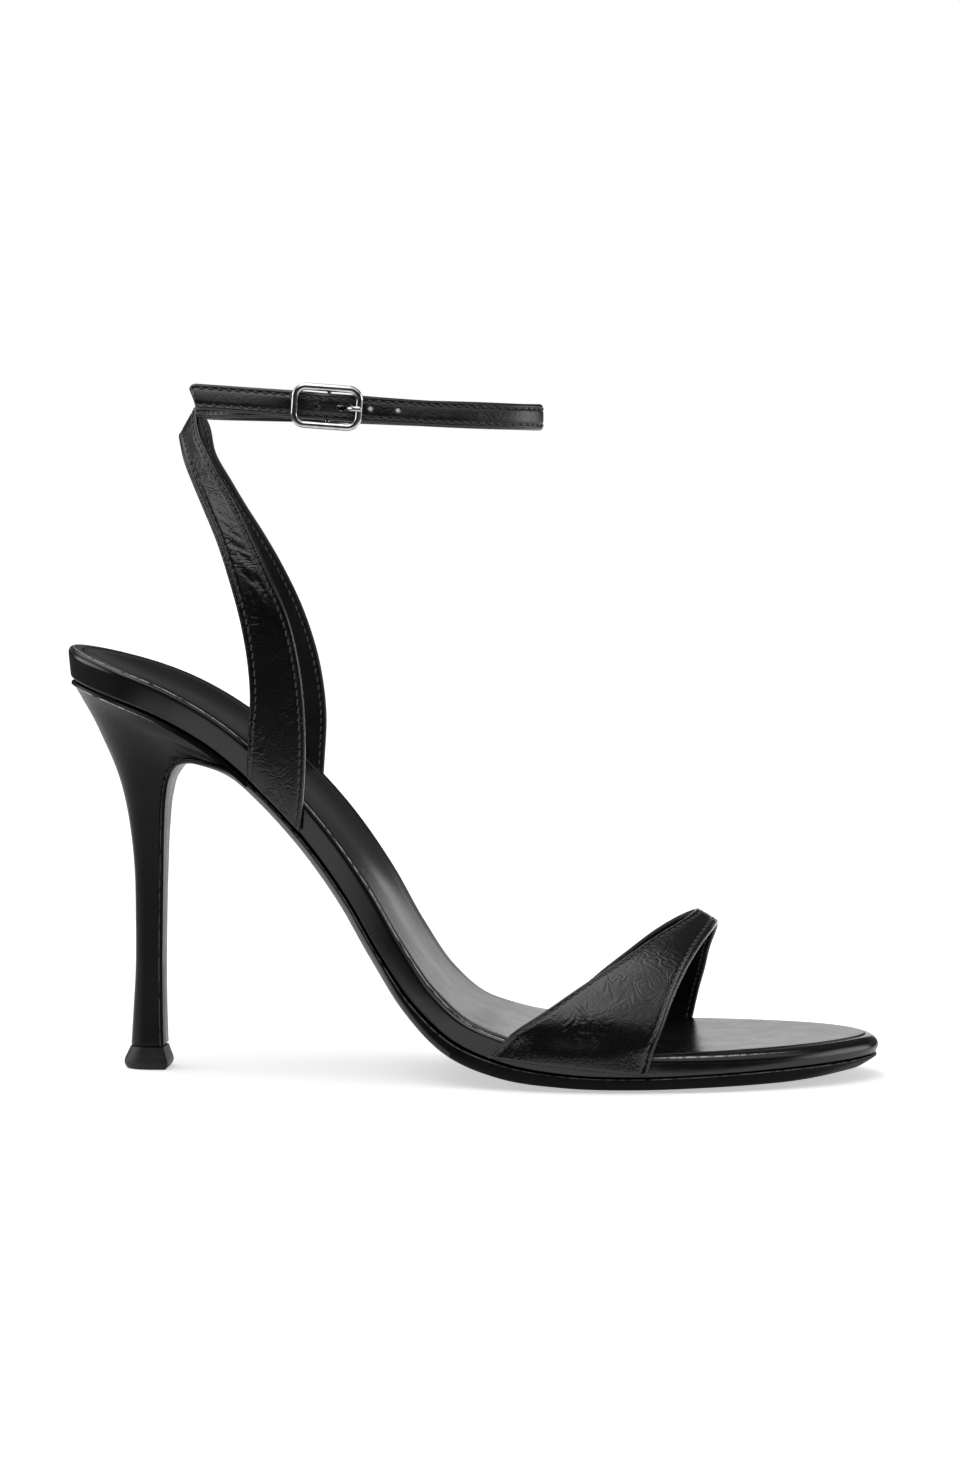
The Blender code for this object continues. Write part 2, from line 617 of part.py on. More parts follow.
def band_points(rows, columns, samples):
    """Middle surface of a band: rows joined by smooth curves, sampled evenly along its middle."""
    knots = chord_knots(rows[:, rows.shape[1] // 2])
    at = np.linspace(0.0, knots[-1], samples)
    return through(knots, rows.reshape(len(rows), -1), at).reshape(samples, columns, 3)


def wall(surface, thickness, edge):
    """Closed wall round a middle surface (rows, columns, 3), with chamfered long edges."""
    along = np.gradient(surface, axis=0)
    across = np.gradient(surface, axis=1)
    normal = unit(np.cross(across, along))
    side = unit(across)
    half = np.full(surface.shape[1], 0.5 * thickness)
    first = surface[:, :1] + side[:, :1] * edge
    last = surface[:, -1:] - side[:, -1:] * edge
    middle = np.concatenate([surface[:, :1], first, surface[:, 1:-1], last, surface[:, -1:]], axis=1)
    spread = np.concatenate([normal[:, :1], normal[:, :1], normal[:, 1:-1], normal[:, -1:], normal[:, -1:]], axis=1)
    half = np.concatenate([[0.25 * thickness], np.full(surface.shape[1], 0.5 * thickness), [0.25 * thickness]])
    outer = middle + spread * half[None, :, None]
    inner = middle - spread * half[None, :, None]
    return np.concatenate([outer, inner[:, ::-1]], axis=1)


def wall_faces(rows, columns):
    """Faces of a wall of that many rows, with both ends closed."""
    faces = grid_faces(rows, columns)
    half = columns // 2
    for base in (0, (rows - 1) * columns):
        for k in range(half - 1):
            a, b = base + k, base + k + 1
            faces.append((a, b, base + columns - 2 - k, base + columns - 1 - k))
    return faces


def band_loops(lateral_foot, free, medial_foot, columns, samples):
    """Wall of a strap over the foot: it hugs the rand, crosses over and hugs the rand again."""
    across = np.linspace(0.0, 1.0, columns)
    rows = [on_rand(row, across, -1.0) for row in lateral_foot]
    rows += [free_row(row, across) for row in free]
    rows += [on_rand(row, across, 1.0) for row in medial_foot]
    surface = band_points(np.array(rows), columns, samples)
    return wall(surface, STRAP_WALL, STRAP_EDGE)


def make_vamp_strap():
    """Strap over the toes."""
    loops = band_loops(VAMP_LATERAL_FOOT, VAMP, VAMP_MEDIAL_FOOT, VAMP_COLUMNS, VAMP_ROWS)
    make_solid("vamp_strap", loops, wall_faces(loops.shape[0], loops.shape[1]))


def ankle_surface():
    """Middle surface of the ankle strap, with the slanted round end of its free tip."""
    line = np.array([row[1:4] for row in ANKLE])
    knots = chord_knots(line)
    rounding = knots[-1] - TIP_ROUND * np.array([1.0, 0.6, 0.3, 0.1, 0.0])
    at = np.concatenate([np.linspace(0.0, knots[-1] - 2.5 * TIP_ROUND, ANKLE_ROWS), rounding])
    centre = through(knots, line, at)
    heading = unit(np.gradient(centre, at, axis=0))
    upright = np.array([0.0, 0.0, 1.0]) - heading * heading[:, 2:3]
    upright = unit(upright)
    left = knots[-1] - at
    tuck = np.clip(1.0 - left / TIP_ROUND, 0.0, 1.0)
    half = 0.5 * ANKLE_WIDTH - TIP_ROUND * (1.0 - np.sqrt(1.0 - tuck**2))
    slant = TIP_SLANT * np.clip(1.0 - left / 12.0, 0.0, 1.0)
    across = np.linspace(-1.0, 1.0, 2)
    rise = upright[:, None, :] * (across[None, :, None] * half[:, None, None])
    lean = heading[:, None, :] * (across[None, :, None] * slant[:, None, None])
    return centre[:, None, :] + rise + lean


def tube(path, radius, sides, closed):
    """Rings of a round wire along a path, kept from twisting."""
    path = np.asarray(path, float)
    if closed:
        heading = unit(np.roll(path, -1, axis=0) - np.roll(path, 1, axis=0))
    else:
        heading = unit(np.gradient(path, axis=0))
    up = np.zeros_like(path)
    up[0] = unit(np.cross(heading[0], [0.31, 0.52, 0.79]))
    for k in range(1, len(path)):
        up[k] = unit(up[k - 1] - heading[k] * np.dot(up[k - 1], heading[k]))
    side = np.cross(heading, up)
    angle = np.linspace(0.0, 2.0 * math.pi, sides, endpoint=False)
    radius = np.broadcast_to(radius, len(path))[:, None, None]
    return path[:, None] + radius * (
        np.cos(angle)[None, :, None] * up[:, None] + np.sin(angle)[None, :, None] * side[:, None]
    )


def tube_faces(rings, sides, closed):
    """Faces of a tube, joined into a ring or with flat ends."""
    faces = grid_faces(rings, sides)
    if closed:
        last = (rings - 1) * sides
        return faces + [(last + c, last + (c + 1) % sides, (c + 1) % sides, c) for c in range(sides)]
    return faces + [tuple(range(sides)), tuple(range((rings - 1) * sides, rings * sides))]


def buckle_plane(points):
    """Turns buckle points (along, out, up) into space: tilted with the strap, about its centre."""
    points = np.asarray(points, float)
    c, s = math.cos(BUCKLE_TILT), math.sin(BUCKLE_TILT)
    x = points[:, 0] * c + points[:, 2] * s
    z = -points[:, 0] * s + points[:, 2] * c
    return np.stack([x, points[:, 1], z], -1) + np.array(BUCKLE_CENTRE)


def rounded_rectangle(length, height, corner, steps):
    """Closed middle line of a rounded rectangle in the plane of the buckle."""
    points = []
    for k, (sx, sz) in enumerate(((1, 1), (-1, 1), (-1, -1), (1, -1))):
        centre = np.array([sx * (0.5 * length - corner), 0.0, sz * (0.5 * height - corner)])
        for step in range(steps + 1):
            a = 0.5 * math.pi * (k + step / steps)
            points.append(centre + corner * np.array([math.cos(a), 0.0, math.sin(a)]))
    return np.array(points)


def make_buckle():
    """Frame with its centre bar, and the prong that goes through the strap and rests on the frame."""
    length, height = BUCKLE_LENGTH - BUCKLE_WIRE, BUCKLE_HEIGHT - BUCKLE_WIRE
    path = buckle_plane(rounded_rectangle(length, height, BUCKLE_CORNER, 5))
    rings = tube(path, 0.5 * BUCKLE_WIRE, 10, True)
    frame = make_solid("buckle_frame", rings, tube_faces(len(path), 10, True))
    top = 0.5 * height
    staple = [(0.0, 0.0, top), (0.0, 0.45 * BAR_SETBACK, top), (0.0, 0.9 * BAR_SETBACK, top - 0.2)]
    staple += [(0.0, BAR_SETBACK, top - 0.9), (0.0, BAR_SETBACK, 0.9 - top)]
    staple += [(0.0, 0.9 * BAR_SETBACK, 0.2 - top), (0.0, 0.45 * BAR_SETBACK, -top), (0.0, 0.0, -top)]
    rings = tube(buckle_plane(staple), BAR_RADIUS, 8, False)
    bar = make_helper("centre_bar", rings, tube_faces(len(staple), 8, False))
    combine(frame, bar, "UNION")
    angle = np.radians(np.linspace(430.0, 180.0, 11))
    eye = [(PRONG_EYE * math.sin(a), BAR_SETBACK + PRONG_EYE * math.cos(a), 0.0) for a in angle]
    shaft = [(1.6, 1.9, 0.0), (2.7, 2.1, 0.0), (3.7, 1.5, 0.0), (4.9, 0.2, 0.0), (6.1, -1.0, 0.0)]
    shaft += [(7.2, -1.6, 0.0), (8.4, -1.72, 0.0), (9.1, -1.66, 0.0)]
    path = buckle_plane(eye + shaft)
    radius = np.full(len(path), PRONG_RADIUS)
    radius[-1] = 0.6 * PRONG_RADIUS
    rings = tube(path, radius, 8, False)
    make_solid("buckle_prong", rings, tube_faces(len(path), 8, False))


def cylinder(centre, direction, radii, length, sides=14):
    """Round or oval cutter along a direction, with its two radii along the strap and up."""
    direction = unit(np.array(direction, float))
    up = unit(np.array([0.0, 0.0, 1.0]) - direction * direction[2])
    side = np.cross(up, direction)
    angle = np.linspace(0.0, 2.0 * math.pi, sides, endpoint=False)
    ring = radii[0] * np.cos(angle)[:, None] * side + radii[1] * np.sin(angle)[:, None] * up
    ends = [np.array(centre) + direction * e * length for e in (-0.5, 0.5)]
    return np.array([end + ring for end in ends]), tube_faces(2, sides, False)


def make_ankle_straps():
    """Back strap and ankle strap joined where they cross, with an eye round the bar and punched holes."""
    surface = ankle_surface()
    loops = wall(surface, STRAP_WALL, STRAP_EDGE)
    strap = make_solid("ankle_straps", loops, wall_faces(loops.shape[0], loops.shape[1]))
    loops = band_loops(BACK_LATERAL_FOOT, BACK, BACK_MEDIAL_FOOT, BACK_COLUMNS, BACK_ROWS)
    combine(strap, make_helper("back_strap", loops, wall_faces(loops.shape[0], loops.shape[1])), "UNION")
    bar = np.array(BUCKLE_CENTRE) + (0.0, BAR_SETBACK, 0.0)
    up = np.array([math.sin(BUCKLE_TILT), 0.0, math.cos(BUCKLE_TILT)])
    bore = BAR_RADIUS + GAP
    angle = np.linspace(0.0, 2.0 * math.pi, 16, endpoint=False)
    ring = np.stack([np.cos(angle), np.sin(angle), 0.0 * angle], -1)
    half = 0.5 * ANKLE_WIDTH
    levels = ((-half, bore), (-half, bore + STRAP_EYE_WALL), (half, bore + STRAP_EYE_WALL), (half, bore))
    eye = np.array([bar + up * level + ring * radius for level, radius in levels])
    combine(strap, make_helper("strap_eye", eye, tube_faces(4, 16, True)), "UNION")
    corners = [(sx, sy, sz) for sz in (-1, 1) for sx, sy in ((-1, -1), (1, -1), (1, 1), (-1, 1))]
    box = bar + np.array(corners) * (2.6, 2.15, SLOT_HALF)
    combine(strap, make_helper("prong_slot", box, tube_faces(2, 4, False)), "DIFFERENCE")
    outer = surface[len(surface) // 2 :].mean(axis=1)
    outer = outer[outer[:, 1] < -15.0]
    order = np.argsort(outer[:, 0])
    heading = np.gradient(outer[order], axis=0)
    for number, place in enumerate((*HOLE_PLACES, PRONG_HOLE_PLACE)):
        centre = np.array([np.interp(place, outer[order, 0], outer[order, k]) for k in range(3)])
        lie = np.array([np.interp(place, outer[order, 0], heading[:, k]) for k in range(3)])
        radii = PRONG_HOLE if place == PRONG_HOLE_PLACE else (HOLE_RADIUS, HOLE_RADIUS)
        points, faces = cylinder(centre, np.cross(lie, (0.0, 0.0, 1.0)), radii, 3.0)
        combine(strap, make_helper(f"punch_{number}", points, faces), "DIFFERENCE")


def main():
    """Builds every piece of the shoe."""
    for obj in list(bpy.data.objects):
        bpy.data.objects.remove(obj, do_unlink=True)
    make_rand()
    make_outsole()
    make_heel()
    make_heel_tip()
    make_vamp_strap()
    make_ankle_straps()
    make_buckle()


main()
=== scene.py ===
"""Looks of the ankle-strap stiletto sandal: its dressed surfaces, a plain studio and the camera.

Sizes are in millimetres, with places along the shoe measured from the back of the heel seat, +Y towards
the inner side of the foot and +Z up from the floor. MeshDraft turns them into the row frame in metres.
Every piece follows the tables and formulas of the solids, on finer grids and with its soft detail.
"""

import logging
import math
from collections.abc import Callable, Sequence
from dataclasses import dataclass, field
from enum import Enum
from functools import cache
from typing import NamedTuple

import bmesh
import bpy
import numpy as np
import numpy.typing as npt
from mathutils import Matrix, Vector


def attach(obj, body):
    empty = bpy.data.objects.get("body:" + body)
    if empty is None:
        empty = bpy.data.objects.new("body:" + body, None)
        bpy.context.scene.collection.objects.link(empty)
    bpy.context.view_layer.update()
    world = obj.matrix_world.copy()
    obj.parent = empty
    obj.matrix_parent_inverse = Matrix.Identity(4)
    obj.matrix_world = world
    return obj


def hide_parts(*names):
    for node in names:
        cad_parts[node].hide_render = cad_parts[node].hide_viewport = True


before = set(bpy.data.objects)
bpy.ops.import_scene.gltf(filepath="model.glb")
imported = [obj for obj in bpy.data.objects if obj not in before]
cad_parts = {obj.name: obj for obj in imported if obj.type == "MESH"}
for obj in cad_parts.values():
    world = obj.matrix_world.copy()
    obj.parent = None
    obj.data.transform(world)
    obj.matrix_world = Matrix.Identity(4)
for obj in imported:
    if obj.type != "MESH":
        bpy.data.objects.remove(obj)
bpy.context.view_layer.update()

LOG = logging.getLogger("sandal")
Array = npt.NDArray[np.float64]
Height = Callable[[Array, Array], Array]
Colour = tuple[float, float, float]
Span = tuple[float, float]
Point = tuple[float, float, float]
Values = tuple[float, ...]
Spans = tuple[Span, ...]
Piece = bpy.types.Object
Socket = bpy.types.NodeSocket

MM = 0.001
ORIGIN_ALONG = 104.2
GAP = 0.3
TINY = 1e-12
WELD = 0.000002
FAR_FROM_EDGE = 9.0
LINE_SAMPLES = 4000
BLACK = (0.0, 0.0, 0.0, 1.0)
WHITE = (1.0, 1.0, 1.0, 1.0)


class Side(Enum):
    """The two sides of the foot, with the sign of their sideways places."""

    LATERAL = -1
    MEDIAL = 1


class SoleRow(NamedTuple):
    """One station of the sole: place, height, half widths, thicknesses, hollow and medial rise."""

    name: str
    along: float
    height: float
    lateral: float
    medial: float
    platform: float
    hollow: float
    outsole: float
    rise: float


class HeelRow(NamedTuple):
    """One section of the heel: front and back, half width, bulge, flap thickness, spread at the front."""

    name: str
    front_x: float
    front_z: float
    back_x: float
    back_z: float
    half: float
    bulge: float
    flap: float
    spread: float = 0.0


class TipRow(NamedTuple):
    """One section of the top piece under the heel."""

    height: float
    back: float
    front: float
    half: float


class FootRow(NamedTuple):
    """A strap row that hugs the platform's wall: its rear and front place."""

    rear_x: float
    rear_z: float
    front_x: float
    front_z: float


class FreeRow(NamedTuple):
    """A strap row that stands free: its rear point, front point and bulge."""

    name: str
    rear: Point
    front: Point
    bulge: float = 0.0


class PathPoint(NamedTuple):
    """One point of a strap's middle line."""

    name: str
    x: float
    y: float
    z: float


class Crease(NamedTuple):
    """A soft trough (negative) or ridge of a strap, from one place (run, share across) to another."""

    start_run: float
    start_share: float
    end_run: float
    end_share: float
    height: float
    half: float


class Dip(NamedTuple):
    """A soft dip that a foot has pressed into the sock: its depth, its middle and its half sizes."""

    depth: float
    along: float
    across: float
    half_along: float
    half_across: float


SOLE = (
    SoleRow("heel back", -0.4, 102.5, 0.0, 0.0, 8.7, 1.4, 2.2, 0.0),
    SoleRow("heel round", 4.0, 101.0, 14.6, 14.6, 8.4, 1.5, 2.2, 0.5),
    SoleRow("heel seat", 13.0, 98.0, 22.6, 22.4, 7.7, 1.6, 2.2, 1.1),
    SoleRow("seat front", 26.0, 92.8, 25.2, 24.9, 7.3, 1.6, 2.2, 1.5),
    SoleRow("breast", 39.0, 85.2, 25.2, 24.5, 7.0, 1.2, 2.2, 1.8),
    SoleRow("waist top", 51.0, 74.8, 24.4, 23.2, 6.7, 0.8, 2.2, 2.4),
    SoleRow("waist", 63.0, 61.8, 23.8, 22.1, 6.5, 0.6, 2.3, 2.9),
    SoleRow("arch", 73.5, 47.4, 23.9, 21.7, 6.4, 0.5, 2.4, 2.8),
    SoleRow("arch low", 82.5, 32.4, 25.2, 22.4, 6.4, 0.4, 2.6, 2.3),
    SoleRow("shank end", 91.5, 20.0, 28.0, 24.8, 6.4, 0.3, 3.1, 1.5),
    SoleRow("joint rear", 101.5, 11.6, 31.8, 28.4, 6.4, 0.3, 3.6, 0.7),
    SoleRow("joint", 114.0, 6.9, 35.6, 33.0, 6.3, 0.3, 3.6, 0.2),
    SoleRow("ball", 130.0, 4.5, 38.1, 37.0, 6.0, 0.4, 3.1, 0.0),
    SoleRow("tread", 148.0, 3.9, 37.6, 38.2, 5.6, 0.4, 2.9, 0.0),
    SoleRow("toe root", 165.0, 4.4, 35.0, 36.6, 5.3, 0.4, 3.0, 0.0),
    SoleRow("toes", 182.0, 5.1, 28.8, 31.4, 5.0, 0.3, 3.2, 0.0),
    SoleRow("toe", 195.0, 5.7, 21.4, 24.0, 4.8, 0.2, 3.2, 0.0),
    SoleRow("toe round", 204.0, 6.1, 12.6, 14.6, 4.7, 0.1, 3.0, 0.0),
    SoleRow("tip", 209.2, 6.4, 0.0, 0.0, 4.6, 0.0, 2.8, 0.0),
)

HEEL = (
    HeelRow("foot", 22.9, 6.1, 14.8, 6.1, 4.9, 0.0, 1.0),
    HeelRow("ankle", 22.7, 14.0, 15.3, 14.0, 4.5, 0.0, 1.0),
    HeelRow("stem low", 22.6, 26.0, 16.0, 26.0, 4.3, 0.0, 1.0),
    HeelRow("stem", 22.8, 40.0, 16.1, 40.0, 4.4, 0.0, 1.0),
    HeelRow("stem high", 23.1, 52.0, 15.9, 51.4, 4.9, 0.0, 1.0),
    HeelRow("flare", 23.5, 63.0, 15.0, 61.6, 5.9, 0.0, 1.0, 0.1),
    HeelRow("flare high", 24.1, 71.4, 13.7, 69.6, 7.3, 0.1, 1.1, 0.3),
    HeelRow("bend low", 25.5, 77.0, 12.2, 75.6, 9.0, 0.2, 1.1, 0.9),
    HeelRow("bend", 28.2, 80.6, 10.4, 80.6, 11.2, 0.4, 1.2, 2.2),
    HeelRow("bend top", 32.0, 81.9, 8.2, 85.6, 13.9, 0.8, 1.3, 3.4),
    HeelRow("breast", 37.0, 81.4, 5.6, 91.2, 17.3, 1.4, 1.4, 3.4),
    HeelRow("lip", 43.0, 79.6, 2.6, 96.6, 21.0, 1.9, 1.6, 2.2),
)

TOP_PIECE = (
    TipRow(0.0, 13.7, 24.3, 5.2),
    TipRow(0.5, 13.3, 24.7, 5.5),
    TipRow(4.4, 14.0, 24.3, 5.2),
    TipRow(5.75, 14.7, 23.9, 4.9),
)

VAMP_LATERAL_FOOT = (FootRow(110.8, 8.4, 151.0, 4.5), FootRow(113.4, 11.2, 152.0, 8.0))
VAMP_MEDIAL_FOOT = (FootRow(124.2, 9.0, 159.9, 8.0), FootRow(122.6, 5.9, 159.6, 4.8))
VAMP = (
    FreeRow("lateral rim", (117.0, -37.1, 14.8), (153.0, -38.2, 11.6), 0.8),
    FreeRow("lateral wall", (124.2, -36.3, 19.6), (154.9, -36.6, 16.6), 0.9),
    FreeRow("lateral turn", (131.8, -33.6, 24.6), (157.0, -33.2, 22.6), 0.9),
    FreeRow("lateral slope", (143.0, -25.4, 31.4), (160.0, -26.0, 29.2), 0.8),
    FreeRow("lateral crown", (152.5, -14.5, 37.0), (163.6, -15.5, 34.8), 0.4),
    FreeRow("crown side", (159.8, -4.5, 40.9), (166.5, -5.0, 37.9), 0.3),
    FreeRow("crown", (161.6, 3.0, 42.0), (167.5, 3.0, 38.5), 0.3),
    FreeRow("medial crown", (158.0, 9.5, 40.0), (167.1, 10.5, 36.3), 0.3),
    FreeRow("medial slope", (151.0, 17.5, 35.2), (165.2, 20.0, 30.6), 0.5),
    FreeRow("medial turn", (143.0, 26.0, 28.4), (163.6, 28.4, 23.8), 0.8),
    FreeRow("medial wall", (134.0, 33.0, 20.6), (161.9, 34.4, 17.4), 1.2),
    FreeRow("medial rim", (127.6, 36.2, 14.4), (160.7, 37.6, 12.0), 1.4),
)

BACK_LATERAL_FOOT = (FootRow(48.7, 77.9, 62.1, 63.8), FootRow(48.9, 83.2, 62.9, 69.6))
BACK_MEDIAL_FOOT = (FootRow(48.9, 83.2, 62.3, 70.2), FootRow(48.7, 77.9, 61.5, 64.4))
BACK = (
    FreeRow("lateral rim", (49.2, -26.1, 90.0), (63.7, -25.8, 79.6)),
    FreeRow("lateral low", (49.7, -26.3, 98.0), (63.8, -26.2, 91.0)),
    FreeRow("lateral leg", (49.1, -26.3, 107.0), (62.8, -26.3, 104.0)),
    FreeRow("lateral mid", (47.2, -25.9, 117.5), (59.8, -25.9, 117.8)),
    FreeRow("lateral bend", (44.1, -23.9, 128.0), (54.8, -24.1, 129.2)),
    FreeRow("lateral high", (40.6, -20.9, 137.6), (50.2, -21.1, 138.6)),
    FreeRow("lateral turn", (36.9, -17.5, 145.4), (46.0, -17.9, 146.6)),
    FreeRow("lateral shoulder", (33.7, -14.1, 151.8), (41.8, -14.9, 153.2)),
    FreeRow("lateral top", (31.0, -10.6, 157.4), (38.0, -11.5, 159.4)),
    FreeRow("lateral back", (29.3, -5.3, 161.8), (34.4, -6.0, 166.2)),
    FreeRow("centre back", (28.5, 0.0, 163.9), (33.1, 0.0, 172.0)),
    FreeRow("medial back", (29.3, 5.3, 161.8), (35.0, 6.6, 167.4)),
    FreeRow("medial top", (30.8, 10.6, 157.4), (36.0, 11.5, 160.2)),
    FreeRow("medial shoulder", (33.4, 15.4, 151.8), (39.4, 16.2, 153.0)),
    FreeRow("medial turn", (36.6, 19.6, 145.4), (42.8, 20.0, 146.4)),
    FreeRow("medial high", (40.0, 22.8, 137.6), (47.5, 23.0, 138.4)),
    FreeRow("medial bend", (43.6, 24.8, 128.0), (52.5, 25.0, 129.2)),
    FreeRow("medial mid", (46.6, 25.4, 117.5), (57.7, 25.4, 117.8)),
    FreeRow("medial leg", (48.6, 25.4, 107.0), (61.8, 25.2, 104.0)),
    FreeRow("medial low", (49.3, 25.2, 98.0), (63.4, 24.8, 91.0)),
    FreeRow("medial rim", (49.2, 24.8, 90.0), (63.0, 24.2, 80.0)),
)

ANKLE = (
    PathPoint("bar end", 68.2, -21.9, 171.8),
    PathPoint("under the tip", 57.0, -21.8, 172.2),
    PathPoint("lateral back", 46.0, -19.4, 172.3),
    PathPoint("back turn in", 38.6, -13.4, 172.3),
    PathPoint("back", 33.8, 0.0, 172.2),
    PathPoint("back turn out", 38.6, 13.4, 172.0),
    PathPoint("medial back", 49.0, 20.8, 171.8),
    PathPoint("medial", 66.0, 23.0, 171.4),
    PathPoint("medial front", 86.0, 21.2, 170.6),
    PathPoint("front turn in", 106.0, 15.0, 169.9),
    PathPoint("fold in", 118.0, 7.2, 169.3),
    PathPoint("fold", 121.4, 0.2, 169.2),
    PathPoint("fold out", 118.2, -6.8, 169.2),
    PathPoint("lateral front", 108.0, -13.8, 169.4),
    PathPoint("holes", 94.0, -19.6, 170.0),
    PathPoint("before the frame", 83.0, -22.6, 170.7),
    PathPoint("under the frame", 77.4, -23.6, 171.1),
    PathPoint("over the bar", 69.2, -25.7, 171.7),
    PathPoint("behind the frame", 61.2, -23.8, 172.4),
    PathPoint("free end", 49.0, -23.8, 173.3),
    PathPoint("tip", 35.0, -24.2, 174.3),
)

# Soft creases of the back strap's two legs, where they turn in above the heel of the foot.
BACK_CREASES = (
    Crease(79.0, 0.30, 75.5, 0.58, -0.08, 0.40),
    Crease(76.5, 0.22, 73.0, 0.50, -0.08, 0.38),
    Crease(74.0, 0.25, 70.2, 0.64, -0.12, 0.42),
    Crease(72.6, 0.28, 69.2, 0.60, 0.08, 0.48),
    Crease(71.2, 0.20, 68.4, 0.46, -0.08, 0.36),
    Crease(69.0, 0.26, 66.2, 0.74, -0.13, 0.42),
    Crease(67.6, 0.30, 65.0, 0.70, 0.08, 0.48),
    Crease(66.2, 0.46, 61.8, 0.74, -0.12, 0.44),
    Crease(64.4, 0.40, 59.4, 0.66, 0.09, 0.60),
    Crease(62.4, 0.30, 57.6, 0.56, -0.08, 0.46),
    Crease(60.2, 0.62, 51.6, 0.82, -0.13, 0.55),
    Crease(57.0, 0.50, 49.0, 0.70, 0.09, 0.75),
    Crease(145.5, 0.25, 149.4, 0.62, -0.11, 0.44),
    Crease(150.5, 0.28, 153.2, 0.72, -0.12, 0.44),
    Crease(153.5, 0.50, 157.6, 0.72, -0.10, 0.46),
    Crease(159.0, 0.60, 167.4, 0.80, -0.11, 0.55),
)

# Soft creases of the vamp strap: shallow pulls on its lateral and medial panels.
VAMP_CREASES = (
    Crease(14.0, 0.16, 22.0, 0.52, -0.05, 2.2),
    Crease(17.5, 0.40, 24.0, 0.78, 0.05, 2.4),
    Crease(26.0, 0.46, 33.0, 0.80, -0.04, 2.2),
    Crease(86.0, 0.24, 95.0, 0.66, -0.07, 1.8),
    Crease(93.0, 0.40, 100.0, 0.80, 0.06, 2.0),
)

# Where the heel and the ball of the foot have rested.
SOCK_DIPS = (
    Dip(0.22, 24.0, 1.0, 13.0, 11.0),
    Dip(0.15, 158.0, 6.0, 16.0, 16.0),
)


def through(knots: npt.ArrayLike, values: npt.ArrayLike, at: npt.ArrayLike) -> Array:
    """Carries a smooth curve through table rows.

    Formula: cubic pieces between neighbouring rows. The slope at a row is the mean of the slopes on both
    sides of it, weighted by how near each neighbour is.

    Args:
        knots: Place of each row, rising.
        values: One or more values for each row.
        at: Places to work out.

    Returns:
        The values at those places, one row for each.
    """
    knots = np.asarray(knots, float)
    values = np.asarray(values, float).reshape(len(knots), -1)
    at = np.asarray(at, float)
    step = np.diff(knots)
    rise = np.diff(values, axis=0) / step[:, None]
    slope = np.empty_like(values)
    ahead = (step[:-1] / (step[:-1] + step[1:]))[:, None]
    slope[1:-1] = rise[:-1] * (1.0 - ahead) + rise[1:] * ahead
    slope[0] = 1.5 * rise[0] - 0.5 * slope[1]
    slope[-1] = 1.5 * rise[-1] - 0.5 * slope[-2]
    i = np.clip(np.searchsorted(knots, at) - 1, 0, len(step) - 1)
    h = step[i][:, None]
    t = ((at - knots[i]) / step[i])[:, None]
    start = values[i] * (1 + 2 * t) * (1 - t) ** 2 + slope[i] * h * t * (1 - t) ** 2
    end = values[i + 1] * t**2 * (3 - 2 * t) + slope[i + 1] * h * t**2 * (t - 1)
    return start + end


def chord_knots(points: npt.ArrayLike) -> Array:
    """Running distance along a list of points."""
    points = np.asarray(points, float)
    return np.concatenate([[0.0], np.cumsum(np.linalg.norm(np.diff(points, axis=0), axis=1))])


def unit(vectors: npt.ArrayLike) -> Array:
    """The vectors at length one."""
    vectors = np.asarray(vectors, float)
    return vectors / np.maximum(np.linalg.norm(vectors, axis=-1, keepdims=True), TINY)


def smooth_step(value: npt.ArrayLike, low: float, high: float) -> Array:
    """0 below low, 1 above high and an S-shaped rise between them."""
    share = np.clip((np.asarray(value, float) - low) / (high - low), 0.0, 1.0)
    return share * share * (3.0 - 2.0 * share)


def bell(distance: npt.ArrayLike, half: float) -> Array:
    """Bell curve: 1 at no distance, 1/e at the half width."""
    return np.exp(-((np.asarray(distance, float) / half) ** 2))


def round_over(depth: npt.ArrayLike, radius: float) -> Array:
    """Quarter circle: 0 at an edge, 1 from one radius inside it."""
    inside = np.clip(np.asarray(depth, float) / radius, 0.0, 1.0)
    return np.sqrt(np.maximum(1.0 - (1.0 - inside) ** 2, 0.0))


def arch(share: npt.ArrayLike) -> Array:
    """Parabola over a share: 0 at both ends and 1 halfway."""
    return 4.0 * np.asarray(share, float) * (1.0 - np.asarray(share, float))


def quarter_turn(steps: int) -> Array:
    """Angles of a quarter circle, with both ends."""
    return np.linspace(0.0, 0.5 * math.pi, steps)


def full_turn(steps: int) -> Array:
    """Angles once round, without the one that closes the circle."""
    return np.linspace(0.0, 2.0 * math.pi, steps, endpoint=False)


def along_line(points: Array, run: Array, at: Array) -> Array:
    """Points of a polyline at running distances, straight between its points."""
    return np.stack([np.interp(at, run, points[:, k]) for k in range(points.shape[1])], -1)


